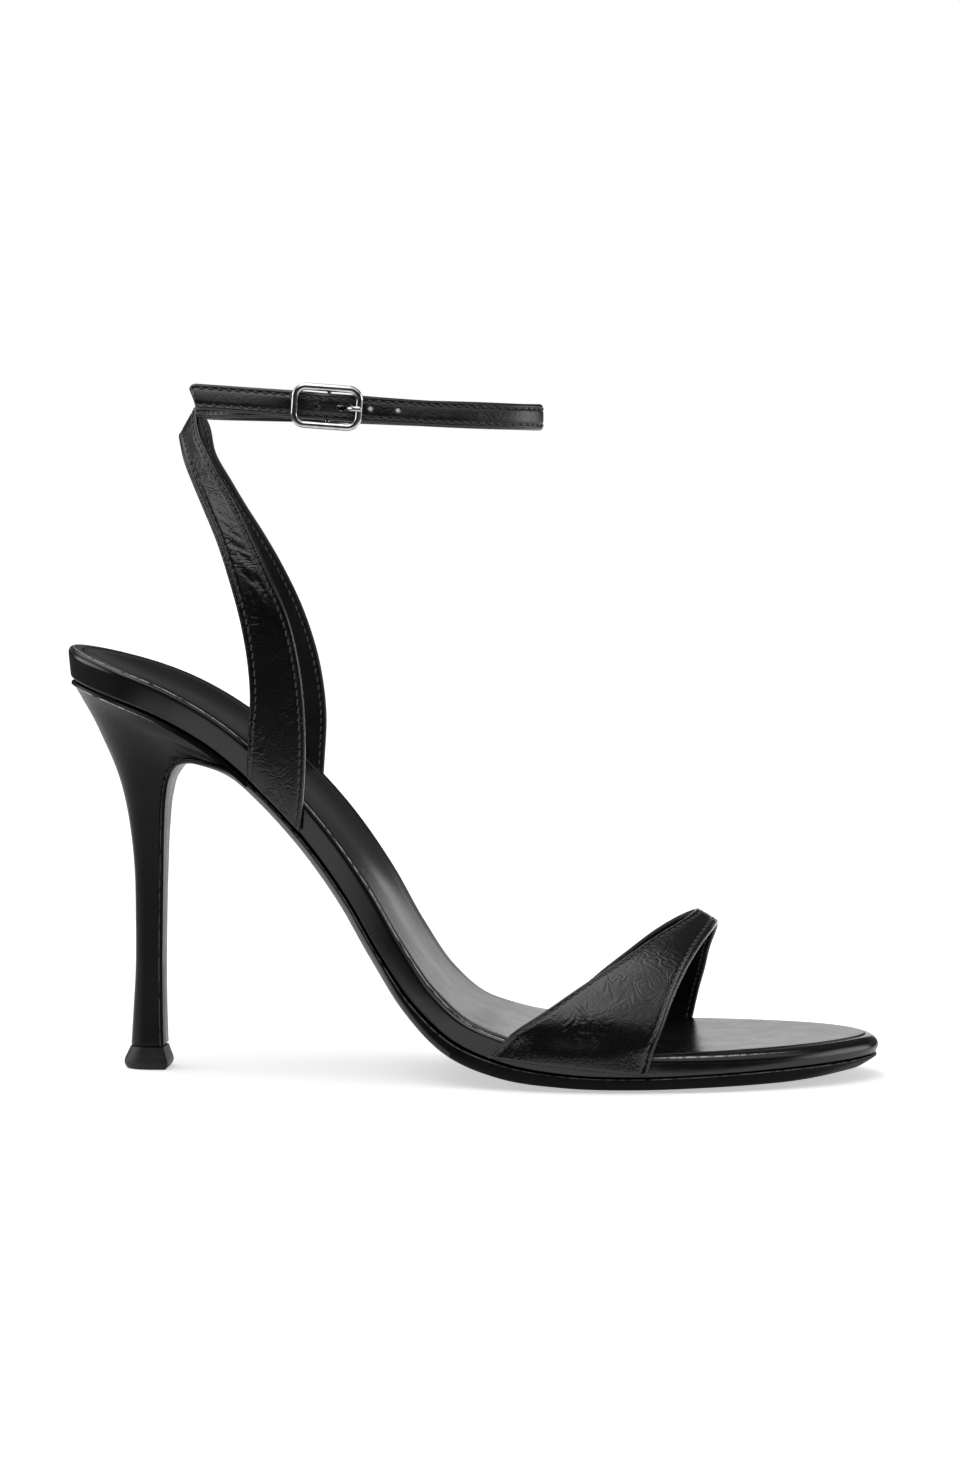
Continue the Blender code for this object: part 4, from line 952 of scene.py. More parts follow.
@dataclass
class Platform:
    """The wrapped platform and the sock that lies in its bed."""

    last: Last
    stations: int = 230
    rim_tight: float = 1.2
    rim_heel: float = 2.5
    rim_full: float = 3.0
    rim_flat: float = 0.8
    heel_fade: Span = (3.0, 20.0)
    toe_fade: Span = (120.0, 165.0)
    full_from: float = 165.0
    full_before_tip: float = 12.0
    foot_steps: int = 7
    wall_steps: int = 10
    rim_steps: int = 21
    bed_steps: int = 5
    foot_radius: float = 0.7
    wall_bow: float = 0.03
    leans: Spans = (
        (0.0, 0.15), (6.0, 0.25), (30.0, 1.1), (75.0, 1.0), (108.0, 0.6), (134.0, 1.1), (172.0, 0.0),
    )
    tip_leans: Spans = ((24.0, -0.02), (8.0, 0.25), (0.0, 0.5))
    bed_turn: float = 0.5
    bed_depth: float = 1.1
    bed_ledge: float = 1.5
    # Place and weakening of the painted highlight line along the rim.
    line_heel: float = math.radians(66.0)
    line_drop: float = math.radians(20.0)
    ball_weaker: float = 0.9
    ball_fade_in: Span = (90.0, 150.0)
    ball_fade_out: Span = (168.0, 186.0)
    toe_weaker: float = 4.0
    toe_weaker_fade: Span = (215.0, 238.0)
    sock_gap: float = 0.25
    sock_rise: float = 0.1
    toe_rise: float = 0.25
    toe_rise_fade: Span = (110.0, 150.0)
    sock_edge: float = 1.0
    sock_edge_steps: int = 7
    sock_insets: Values = (1.2, 1.45, 1.6, 1.72, 1.85, 1.98, 2.1, 2.25, 2.5, 3.1)
    sock_shares: int = 30
    toe_tight: float = 0.65
    pressed_line: float = 1.85
    pressed_half: float = 0.2
    pressed_depth: float = 0.09
    pressed_fade: Span = (130.0, 165.0)
    wave: float = 0.02
    wave_along: float = 9.0
    wave_across: float = 15.0
    dips: tuple[Dip, ...] = SOCK_DIPS
    wrap: LeatherFinish = WRAP_LEATHER
    sock: LeatherFinish = SOCK_LEATHER

    def toe_share(self, s: Array) -> Array:
        """Share of the shape under the toes: 0 up to the ball, 1 from the toe root on."""
        return smooth_step(s, *self.toe_fade)

    def rim_radius(self, s: Array) -> Array:
        """Radius of the rim: tight along the waist, fuller at the back and full at the toe."""
        full_at = self.last.line.length - self.full_before_tip
        toe = (self.rim_full - self.rim_tight) * smooth_step(s, self.full_from, full_at)
        heel = (self.rim_heel - self.rim_tight) * (1.0 - smooth_step(s, *self.heel_fade))
        return self.rim_tight + toe + heel

    def flat_width(self, s: Array) -> Array:
        """Width of the flat crest of the rim, which narrows to nothing under the toes."""
        return self.rim_flat * (1.0 - self.toe_share(s))

    def bed_round(self, s: Array) -> Array:
        """Radius of the rim's turn down to the bed, tighter under the toes."""
        return self.bed_turn - self.toe_tight * self.bed_turn * self.toe_share(s)

    def sock_round(self, s: Array) -> Array:
        """Radius of the sock's cut edge, tighter under the toes."""
        return self.sock_edge - self.toe_tight * self.sock_edge * self.toe_share(s)

    def wall_lean(self, s: Array) -> Array:
        """How far the wall's foot stands in from its top, carried through places from heel and tip."""
        tip = self.last.line.length
        knots = [place for place, _ in self.leans] + [tip - before for before, _ in self.tip_leans]
        return through(knots, [lean for _, lean in self.leans + self.tip_leans], s)[:, 0]

    def wall_rings(self, along: Array) -> list[Ring]:
        """Rings of the wrap from its rounded foot up the leaning wall, over the rim and down to the bed.

        Args:
            along: Distance of each outline point, for the lean and the rim there.

        Returns:
            The rings in order.
        """
        lean = self.wall_lean(along)
        rim = self.last.rim
        radius = self.rim_radius
        foot = self.foot_radius
        rings = [Ring(0.0, 0.0, lambda s, y: 0.0 * s)]
        for a in quarter_turn(self.foot_steps):
            inset = lean + foot * (1.0 - math.sin(a))
            rings.append(Ring(inset, 1.0, lambda s, y, a=a: np.full_like(s, foot * (1.0 - math.cos(a)))))
        for t in np.linspace(0.0, 1.0, self.wall_steps)[1:-1]:
            inset = lean * (1.0 - t) - self.wall_bow * arch(t)
            rings.append(Ring(inset, 1.0, lambda s, y, t=t: foot + (rim(s, y) - radius(s) - foot) * t))
        for a in quarter_turn(self.rim_steps):
            inset = radius(along) * (1.0 - math.cos(a))
            drop = 1.0 - math.sin(a)
            # Distance from the painted highlight line on the rim.
            off = self.from_highlight_line(along, a)
            rings.append(Ring(inset, 1.0, lambda s, y, drop=drop: rim(s, y) - radius(s) * drop, off))
        turn = self.bed_round
        crest = radius(along) + self.flat_width(along)
        bed = crest + turn(along)
        for a in quarter_turn(self.bed_steps):
            inset = crest + turn(along) * math.sin(a)
            rings.append(Ring(inset, 1.0, lambda s, y, a=a: rim(s, y) - turn(s) * (1.0 - math.cos(a))))
        depth = self.bed_depth
        ledge = bed + self.bed_ledge
        rings.append(Ring(bed, 1.0, lambda s, y: rim(s, y) - depth))
        rings.append(Ring(ledge, 1.0, lambda s, y: rim(s, y) - depth))
        rings.append(Ring(ledge, 0.0, lambda s, y: rim(s, y) - depth - self.last.column("hollow", s)))
        return rings

    def build_wrap(self) -> None:
        """The leather wrapped round the platform: a wall with a rounded rim, carried round the outline."""
        outline, axis = self.last.outline(self.stations)
        draft = MeshDraft()
        draft.add_rings(self.last.line, outline, axis, self.wall_rings(outline[:, 0]))
        draft.piece("platform_wrap", "rand", [self.wrap.material()])

    def from_highlight_line(self, along: Array, angle: float) -> Array:
        """Distance on the rim from a painted highlight line, a thin pale line where the rim's rounding
        catches light.

        Formula: the rim's radius times the angle to the line, and more where the line is weaker. The line
        lies high on the rim at the heel and lower under the toes.

        Args:
            along: Distance of each outline point.
            angle: Angle on the rim's quarter circle.

        Returns:
            Distance for each outline point.
        """
        off = np.abs(angle - self.line_heel + self.line_drop * self.toe_share(along))
        ball = smooth_step(along, *self.ball_fade_in) * (1.0 - smooth_step(along, *self.ball_fade_out))
        weaker = 1.0 + self.ball_weaker * ball + self.toe_weaker * smooth_step(along, *self.toe_weaker_fade)
        return self.rim_radius(along) * off * weaker

    def sock_top(self, share: float) -> Height:
        """Height of the sock's face: its hollow grows with 1 - share squared, with soft dips and a wave."""

        def height(s: Array, y: Array) -> Array:
            """Height at each place."""
            dip = 0.0 * s
            for d in self.dips:
                dip = dip + d.depth * bell(s - d.along, d.half_along) * bell(y - d.across, d.half_across)
            inner = 1.0 - share**2
            wave = self.wave * np.sin(s / self.wave_along + y / self.wave_across) * inner
            hollow = inner * self.last.column("hollow", s)
            rise = self.sock_rise + self.toe_rise * smooth_step(s, *self.toe_rise_fade)
            return self.last.rim(s, y) + rise - hollow - dip * (1.0 - share**4) + wave

        return height

    def pressed(self, drop: float) -> Height:
        """Height of the sock near its edge, lowered by the pressed line, which fades out under the toes."""
        return lambda s, y: self.sock_top(1.0)(s, y) - drop * (1.0 - smooth_step(s, *self.pressed_fade))

    def sock_side(self, angle: float) -> Height:
        """Height on the sock's rounded edge at an angle of the quarter circle."""
        return lambda s, y: self.sock_top(1.0)(s, y) - self.sock_round(s) * (1.0 - math.sin(angle))

    def build_sock(self) -> None:
        """The sock: a rounded cut edge, a line pressed along it and a hollowed face."""
        outline, axis = self.last.outline(self.stations)
        along = outline[:, 0]
        edge = self.rim_radius(along) + self.flat_width(along) + self.bed_round(along) + self.sock_gap
        round_edge = self.sock_round(along)
        under = self.bed_depth - GAP
        rim = self.last.rim
        rings = [Ring(edge, 0.0, lambda s, y: rim(s, y) - under - self.last.column("hollow", s), 0.0)]
        rings.append(Ring(edge, 1.0, lambda s, y: rim(s, y) - under, 0.0))
        for a in quarter_turn(self.sock_edge_steps):
            turned = 1.0 - math.cos(a)
            rings.append(Ring(edge + round_edge * turned, 1.0, self.sock_side(a), self.sock_edge * turned))
        for inside in self.sock_insets:
            drop = self.pressed_depth * float(bell(inside - self.pressed_line, self.pressed_half))
            rings.append(Ring(edge + inside, 1.0, self.pressed(drop), inside))
        for share in np.linspace(1.0, 0.0, self.sock_shares)[1:]:
            rings.append(Ring(edge + self.sock_insets[-1], share, self.sock_top(float(share))))
        draft = MeshDraft()
        draft.add_rings(self.last.line, outline, axis, rings)
        draft.piece("sock", "insole", [self.sock.material()])


@dataclass
class Outsole:
    """The thin sole with its flap down the front of the heel."""

    last: Last
    flap: tuple[HeelRow, ...] = HEEL
    flap_share: float = 0.94
    seat_front: float = 49.4
    seat_clear: float = 2.0
    stations: int = 61
    even_share: float = 0.45
    step_out: float = 0.1
    waist_in: Span = (66.0, 96.0)
    waist_out: Span = (150.0, 190.0)
    waist_paint: float = 0.1
    tip_from: float = 26.0
    tip_to: float = 3.0
    ledge: float = 3.0
    edge_corner: float = 0.35
    corner_share: float = 0.25
    corner_drop: float = 0.8
    corner_steps: int = 5
    # Angle of the painted highlight line on the top corner, and the distance given to rings off it.
    corner_line: float = math.radians(40.0)
    off_line: float = 0.8
    upright_rows: Values = (0.6, 0.85)
    forefoot_bevel: float = 0.42
    waist_bevel: float = 1.7
    tip_bevel: float = 1.1
    bevel_steps: int = 10
    bevel_plain: float = 0.85
    forefoot_edge: float = 0.55
    waist_edge: float = 0.20
    tread_steps: int = 16
    tread_crown: Spans = ((0.0, 1.35), (0.62, 1.28), (1.0, 1.0))
    axis_start: float = 1.5
    along_step: float = 0.9
    toe_run: float = 24.0
    toe_steps: int = 60
    toe_clear: float = 0.5
    toe_back: float = 0.6
    toe_back_run: float = 14.0
    finish: LeatherFinish = SOLE_LEATHER
    paint: LeatherFinish = SOLE_EDGE
    line: SideLine = field(init=False)
    knots: Array = field(init=False)
    under: Array = field(init=False)

    def __post_init__(self) -> None:
        """Works out the sole's top line: up the heel's front, round the bend and on to the toe."""
        u = np.linspace(0.0, 1.0, self.stations)
        drawn = (1.0 - self.even_share) * (0.5 - 0.5 * np.cos(math.pi * u))
        s = self.last.line.length * (self.even_share * u + drawn)
        self.under = s[self.last.line.at(s)[:, 0] > self.seat_front + self.seat_clear]
        front = np.array([(row.front_x, row.front_z) for row in self.flap])
        sole = self.last.line.at(self.under) - self.last.line.normal(self.under) * GAP
        points = np.concatenate([front, sole])
        self.line = SideLine(points)
        self.knots = self.line.place(points[:, 0], points[:, 1])

    def thickness(self, s: Array) -> Array:
        """Thickness at distance s on the sole's own line."""
        flap = [row.flap for row in self.flap]
        return through(self.knots, np.concatenate([flap, self.last.column("outsole", self.under)]), s)[:, 0]

    def half(self, side: Side, s: Array) -> Array:
        """Half width at distance s, carried through the rows by its square."""
        flap = [self.flap_share * row.half + row.spread for row in self.flap]
        sole = np.maximum(self.last.half_width(side, self.under) + self.step_out, 0.0)
        sole[-1] = 0.0
        return np.sqrt(np.maximum(through(self.knots, np.concatenate([flap, sole]) ** 2, s)[:, 0], 0.0))

    def waist(self, s: Array) -> Array:
        """Share of the waist's bevelled shape at distance s: 0 on flap and forefoot, 1 at the arch."""
        return smooth_step(s, *self.waist_in) * (1.0 - smooth_step(s, *self.waist_out))

    def tip(self, s: Array) -> Array:
        """Share of the tip's tapered shape at distance s."""
        return smooth_step(s, self.line.length - self.tip_from, self.line.length - self.tip_to)

    def edge_end(self, s: Array) -> Array:
        """Share of the thickness down to which the edge stands upright."""
        thin = np.maximum(self.waist(s), self.tip(s))
        return self.forefoot_edge + (self.waist_edge - self.forefoot_edge) * thin

    def bevel_share(self, s: Array, turn: float, quarter: float) -> Array:
        """Share of the way over the bevel: nearly a plain slope at waist and tip, else a quarter circle."""
        return quarter + (turn - quarter) * self.bevel_plain * np.maximum(self.waist(s), self.tip(s))

    def bevel_height(self, s: Array, turn: float) -> Array:
        """Height on the bevel, from the end of the upright edge down to the full thickness."""
        end = self.edge_end(s)
        share = self.bevel_share(s, turn, math.sin(0.5 * math.pi * turn))
        return -(end + (1.0 - end) * share) * self.thickness(s)

    def outline(self) -> tuple[Array, Array]:
        """Closed outline in (distance, sideways) and the axis point of each of its points."""
        tail = self.line.length - self.toe_run * (1.0 - np.linspace(0.0, 1.0, self.toe_steps)[:-1]) ** 2
        s = np.concatenate([np.arange(0.0, tail[0] - self.toe_clear, self.along_step), tail])
        lateral = self.half(Side.LATERAL, s)
        medial = self.half(Side.MEDIAL, s)
        low = np.stack([s, -lateral], -1)
        high = np.stack([s, medial], -1)[::-1]
        outline = np.concatenate([low, [[self.line.length, 0.0]], high])
        drawn = smooth_step(outline[:, 0], self.line.length - self.toe_back_run, self.line.length)
        outline[:, 0] -= self.toe_back * drawn
        inner = np.clip(outline[:, 0], self.axis_start, self.line.length - self.last.axis_inset_toe)
        middle = 0.5 * (np.interp(inner, s, medial) - np.interp(inner, s, lateral))
        return outline, np.stack([inner, middle], -1)

    def below(self, share: float, drop: float = 0.0) -> Height:
        """Height below the top line by a share of the thickness and a plain drop."""
        return lambda s, y: -share * self.thickness(s) - drop

    def upright(self, share: float) -> Height:
        """Height on the upright edge, a share of the way down it."""
        return lambda s, y: -share * self.edge_end(s) * self.thickness(s)

    def build(self) -> None:
        """The sole: a ledge on top, an edge with rounded corners, a bevel at the waist and a flat tread."""
        outline, axis = self.outline()
        along = outline[:, 0]
        thick = self.thickness(along)
        waist = self.waist(along)
        bevel = thick * (self.forefoot_bevel + (self.waist_bevel - self.forefoot_bevel) * waist)
        bevel = bevel + thick * self.tip_bevel * self.tip(along)
        corner = np.minimum(self.edge_corner, self.corner_share * thick)
        rings = [Ring(0.0, 0.0, self.below(0.0))]
        # Edge distances place the painted highlight line on the top corner; the other rings lie off it.
        rings.append(Ring(self.ledge * corner, 1.0, self.below(0.0), self.off_line))
        for a in quarter_turn(self.corner_steps):
            drop = self.edge_corner * (1.0 - math.cos(a)) * self.corner_drop
            off = self.edge_corner * abs(a - self.corner_line)
            rings.append(Ring(corner * (1.0 - math.sin(a)), 1.0, self.below(0.0, drop), off))
        rings += [Ring(0.0, 1.0, self.upright(share), self.off_line) for share in self.upright_rows]
        painted_at_waist = len(rings) + 1
        for turn in np.linspace(0.0, 1.0, self.bevel_steps):
            inset = bevel * self.bevel_share(along, turn, 1.0 - math.cos(0.5 * math.pi * turn))
            rings.append(Ring(inset, 1.0, lambda s, y, turn=turn: self.bevel_height(s, turn), self.off_line))
        painted_elsewhere = len(rings) - 1
        shares = np.linspace(1.0, 0.0, self.tread_steps)[1:]
        places, depths = zip(*self.tread_crown)
        for share, depth in zip(shares, through(places, depths, shares)[:, 0]):
            rings.append(Ring(bevel, float(share), self.below(float(depth))))
        last_painted = np.where(waist > self.waist_paint, painted_at_waist, painted_elsewhere)
        painted = np.arange(len(rings) - 1)[:, None] < last_painted[None]
        draft = MeshDraft()
        draft.add_rings(self.line, outline, axis, rings, np.where(painted, 1, 0))
        draft.piece("sole", "outsole", [self.finish.material(), self.paint.material()])


@dataclass
class Heel:
    """The covered heel and the top piece under it."""

    last: Last
    outsole: Outsole
    rows: int = 160
    sides: int = 44
    draw: float = 1.6
    full_at: float = 0.6
    seat_back: float = 0.9
    seat_inset: float = 0.5
    seat_ease: float = 8.0
    lip: float = 0.35
    lip_steps: int = 5
    # Place and fade of the painted highlight line on the lip.
    lip_line: float = math.radians(35.0)
    lip_line_fade: float = 0.5
    lip_fade: Span = (0.30, 0.62)
    groove: float = 0.9
    groove_deep: float = 1.1
    foot_round: float = 0.25
    foot_steps: int = 4
    sharp: float = 40.0
    tip_low: Values = (0.0, 0.12, 0.28, 0.5)
    tip_wall: Span = (0.9, 4.4)
    tip_wall_steps: int = 8
    tip_high: Values = (4.9, 5.3, 5.55, 5.75)
    cover: LeatherFinish = HEEL_LEATHER
    plastic: LeatherFinish = TOP_PIECE_PLASTIC

    def shares(self) -> Array:
        """Shares along a section from its back to its front, drawn together at the back."""
        return np.linspace(0.0, 1.0, self.sides) ** self.draw

    def section(self, share: Array) -> Array:
        """Half width of a section over its length: an elliptic back, nearly straight to the front."""
        rising = np.clip(share / self.full_at, 0.0, 1.0)
        easing = np.clip((share - self.full_at) / (1.0 - self.full_at), 0.0, 1.0)
        round_back = np.sqrt(np.maximum(1.0 - (1.0 - rising) ** 2, 0.0))
        return round_back - (1.0 - self.outsole.flap_share) * easing**2

    def two_sides(self, x: Array, lateral: Array, medial: Array, z: Array) -> Array:
        """Rows of points from the lateral front corner round the back to the medial front corner."""
        left = np.stack([x, -lateral, z], -1)[..., ::-1, :]
        right = np.stack([x, medial, z], -1)[..., 1:, :]
        return np.concatenate([left, right], axis=-2)

    def lid(self, row: Array) -> Array:
        """Flat strip between the lateral and the medial half of a row, which closes a stack of rows."""
        return np.stack([row[: self.sides][::-1], row[self.sides - 1 :]], axis=1)

    def cover_rows(self) -> tuple[Array, Array]:
        """Sections carried from the top piece up the stem to the seat.

        Formula: each section's line runs from its back to its front with a parabolic bulge. Lines and half
        widths are carried smoothly from section to section, and the last one lies along the sole.

        Returns:
            Points of shape (rows, 2 * sides - 1, 3), and the upward direction at each point of the last row.
        """
        share = self.shares()
        front = np.array([(row.front_x, row.front_z) for row in HEEL])
        back = np.array([(row.back_x, row.back_z) for row in HEEL])
        chord = back - front
        rise = unit(np.stack([chord[:, 1], -chord[:, 0]], -1))
        bulge = np.array([row.bulge for row in HEEL])[:, None] * arch(share)
        lines = back[:, None] - share[None, :, None] * chord[:, None] + rise[:, None] * bulge[..., None]
        halves = np.array([row.half for row in HEEL])[:, None] * self.section(share)
        halves = halves + np.array([row.spread for row in HEEL])[:, None] * share**3
        sole = self.last.line
        seat_front = self.outsole.seat_front
        seat_end = float(sole.place(seat_front, np.interp(seat_front, *sole.fine.T))[0])
        along = self.seat_back + (seat_end - self.seat_back) * share
        seat = sole.at(along) - sole.normal(along) * GAP
        inset = self.seat_inset * np.minimum(1.0, share * self.seat_ease)
        widths = [np.maximum(self.last.half_width(side, along) - inset, 0.0) for side in Side]
        widths[0][0] = 0.0
        widths[1][0] = 0.0
        knots = np.concatenate([self.outsole.line.place(*front.T), self.outsole.line.place(*seat[-1])])
        levels = np.interp(np.linspace(0, len(knots) - 1, self.rows), np.arange(len(knots)), knots)
        lines = np.concatenate([lines, seat[None]])
        lateral = np.concatenate([halves, widths[0][None]])
        medial = np.concatenate([halves, widths[1][None]])
        lines = through(knots, lines.reshape(len(knots), -1), levels).reshape(self.rows, -1, 2)
        lateral = np.maximum(through(knots, lateral, levels), 0.0)
        medial = np.maximum(through(knots, medial, levels), 0.0)
        faces = self.outsole.line.at(levels) + self.outsole.line.normal(levels) * GAP
        faces[-1] = lines[-1, -1]
        lines = lines + share[None, :, None] ** 3 * (faces - lines[:, -1])[:, None, :]
        points = self.two_sides(lines[..., 0], lateral, medial, lines[..., 1])
        normal = sole.normal(along)
        up = np.stack([normal[:, 0], 0.0 * share, normal[:, 1]], -1)
        return points, np.concatenate([up[::-1], up[1:]])

    def polished_lip(self, rows: int, turned: int) -> Array:
        """Distance of each point of the cover from the painted highlight line on its lip.

        Formula: on the lip, its radius times the angle to the line, and more towards the breast, where the
        line fades out.

        Args:
            rows: Number of rows of the cover.
            turned: Number of rows of the lip and the groove, the last ones.

        Returns:
            Distances of shape (rows, points of a row).
        """
        share = self.shares()
        share = np.concatenate([share[::-1], share[1:]])
        faded = self.lip_line_fade * smooth_step(share, *self.lip_fade)
        angle = quarter_turn(self.lip_steps)[:, None]
        distance = np.full((rows, len(share)), FAR_FROM_EDGE)
        lip = slice(rows - turned, rows - turned + self.lip_steps)
        distance[lip] = self.lip * np.abs(angle - self.lip_line) + faded
        return distance

    def build_cover(self) -> None:
        """The covered heel, with a groove under the platform, a rounded lip below it and a rounded foot."""
        rows, up = self.cover_rows()
        centre = rows[-1].mean(axis=0)
        top = rows[-1].copy()
        inward = unit(centre - top)
        inward = unit(inward - up * np.sum(inward * up, axis=1, keepdims=True))
        turned = []
        for a in quarter_turn(self.lip_steps):
            drop = self.groove + self.lip * (1.0 - math.sin(a))
            turned.append(top - up * drop + inward * (self.lip * (1.0 - math.cos(a))))
        turned.append(top - up * self.groove + inward * self.groove_deep)
        turned.append(top + inward * self.groove_deep)
        stem = rows[0].mean(axis=0)
        foot = []
        for a in quarter_turn(self.foot_steps)[:-1]:
            drawn = rows[0] + unit(stem - rows[0]) * self.foot_round * (1.0 - math.sin(a))
            foot.append(drawn + np.array([0.0, 0.0, self.foot_round * (1.0 - math.cos(a))]))
        stack = np.concatenate([np.array(foot), rows[1:-1], np.array(turned)])
        draft = MeshDraft()
        draft.add(stack, wrap=True, edge=self.polished_lip(len(stack), len(turned)))
        draft.add(self.lid(stack[0]))
        draft.add(self.lid(stack[-1]))
        draft.piece("heel_cover", "heel", [self.cover.material()], self.sharp)

    def build_top_piece(self) -> None:
        """The top piece: short sections carried up from the flat floor face, with a rounded upper edge."""
        share = self.shares()
        knots = [row.height for row in TOP_PIECE]
        table = [(row.back, row.front, row.half) for row in TOP_PIECE]
        wall = np.linspace(*self.tip_wall, self.tip_wall_steps)
        levels = np.concatenate([self.tip_low, wall, self.tip_high])
        back, front, half = through(knots, table, levels).T
        x = back[:, None] + (front - back)[:, None] * share
        y = half[:, None] * self.section(share)
        z = np.broadcast_to(levels[:, None], x.shape)
        grid = self.two_sides(x, y, y, z)
        draft = MeshDraft()
        draft.add(grid, wrap=True, edge=np.minimum(levels, levels[-1] - levels)[:, None])
        draft.add(self.lid(grid[0]))
        draft.add(self.lid(grid[-1]))
        draft.piece("top_piece", "heel_tip", [self.plastic.material()], self.sharp)


@dataclass(frozen=True)
class Seam:
    """A row of stitches: its inset from the edge, pitch, stitch length and thread."""

    inset: float = 1.7
    pitch: float = 2.2
    length: float = 1.75
    radius: float = 0.26
    rise: float = 0.12
    sink: float = 0.05
    slant: float = 0.14
    margin: float = 1.0
    rings: int = 7
    sides: int = 6

    def stitches(self, line: Array, outward: Array) -> Array:
        """Stitches along a line on a surface.

        Formula: each stitch is a round thread whose middle follows the line, arched by a parabola so that
        both ends sink in, turned a little across it, and thinned to nothing at its ends.

        Args:
            line: Points of the line.
            outward: Direction away from the surface at each point.

        Returns:
            Points of shape (stitches, rings, sides, 3).
        """
        run = chord_knots(line)
        count = max(1, int((run[-1] - 2.0 * self.margin) / self.pitch))
        start = 0.5 * (run[-1] - count * self.pitch)
        centres = start + self.pitch * (np.arange(count) + 0.5)
        t = np.sin(np.linspace(-0.5 * math.pi, 0.5 * math.pi, self.rings))
        at = centres[:, None] + 0.5 * self.length * t
        path = along_line(line, run, at)
        up = unit(along_line(outward, run, at))
        heading = unit(np.gradient(path, axis=1))
        side = unit(np.cross(heading, up))
        path = path + up * (self.rise * (1.0 - t**2) - self.sink)[:, None]
        path = path + side * (self.slant * t)[:, None]
        thin = (self.radius * np.sqrt(np.maximum(1.0 - t**4, 0.0)))[:, None, None]
        angle = full_turn(self.sides)[:, None]
        around = np.cos(angle) * up[:, :, None] + np.sin(angle) * side[:, :, None]
        return path[:, :, None] + thin * around


STRAP_SEAM = Seam()
FINE_SEAM = Seam(inset=1.3, pitch=2.3, length=1.55, radius=0.28, rise=0.2, margin=1.4)


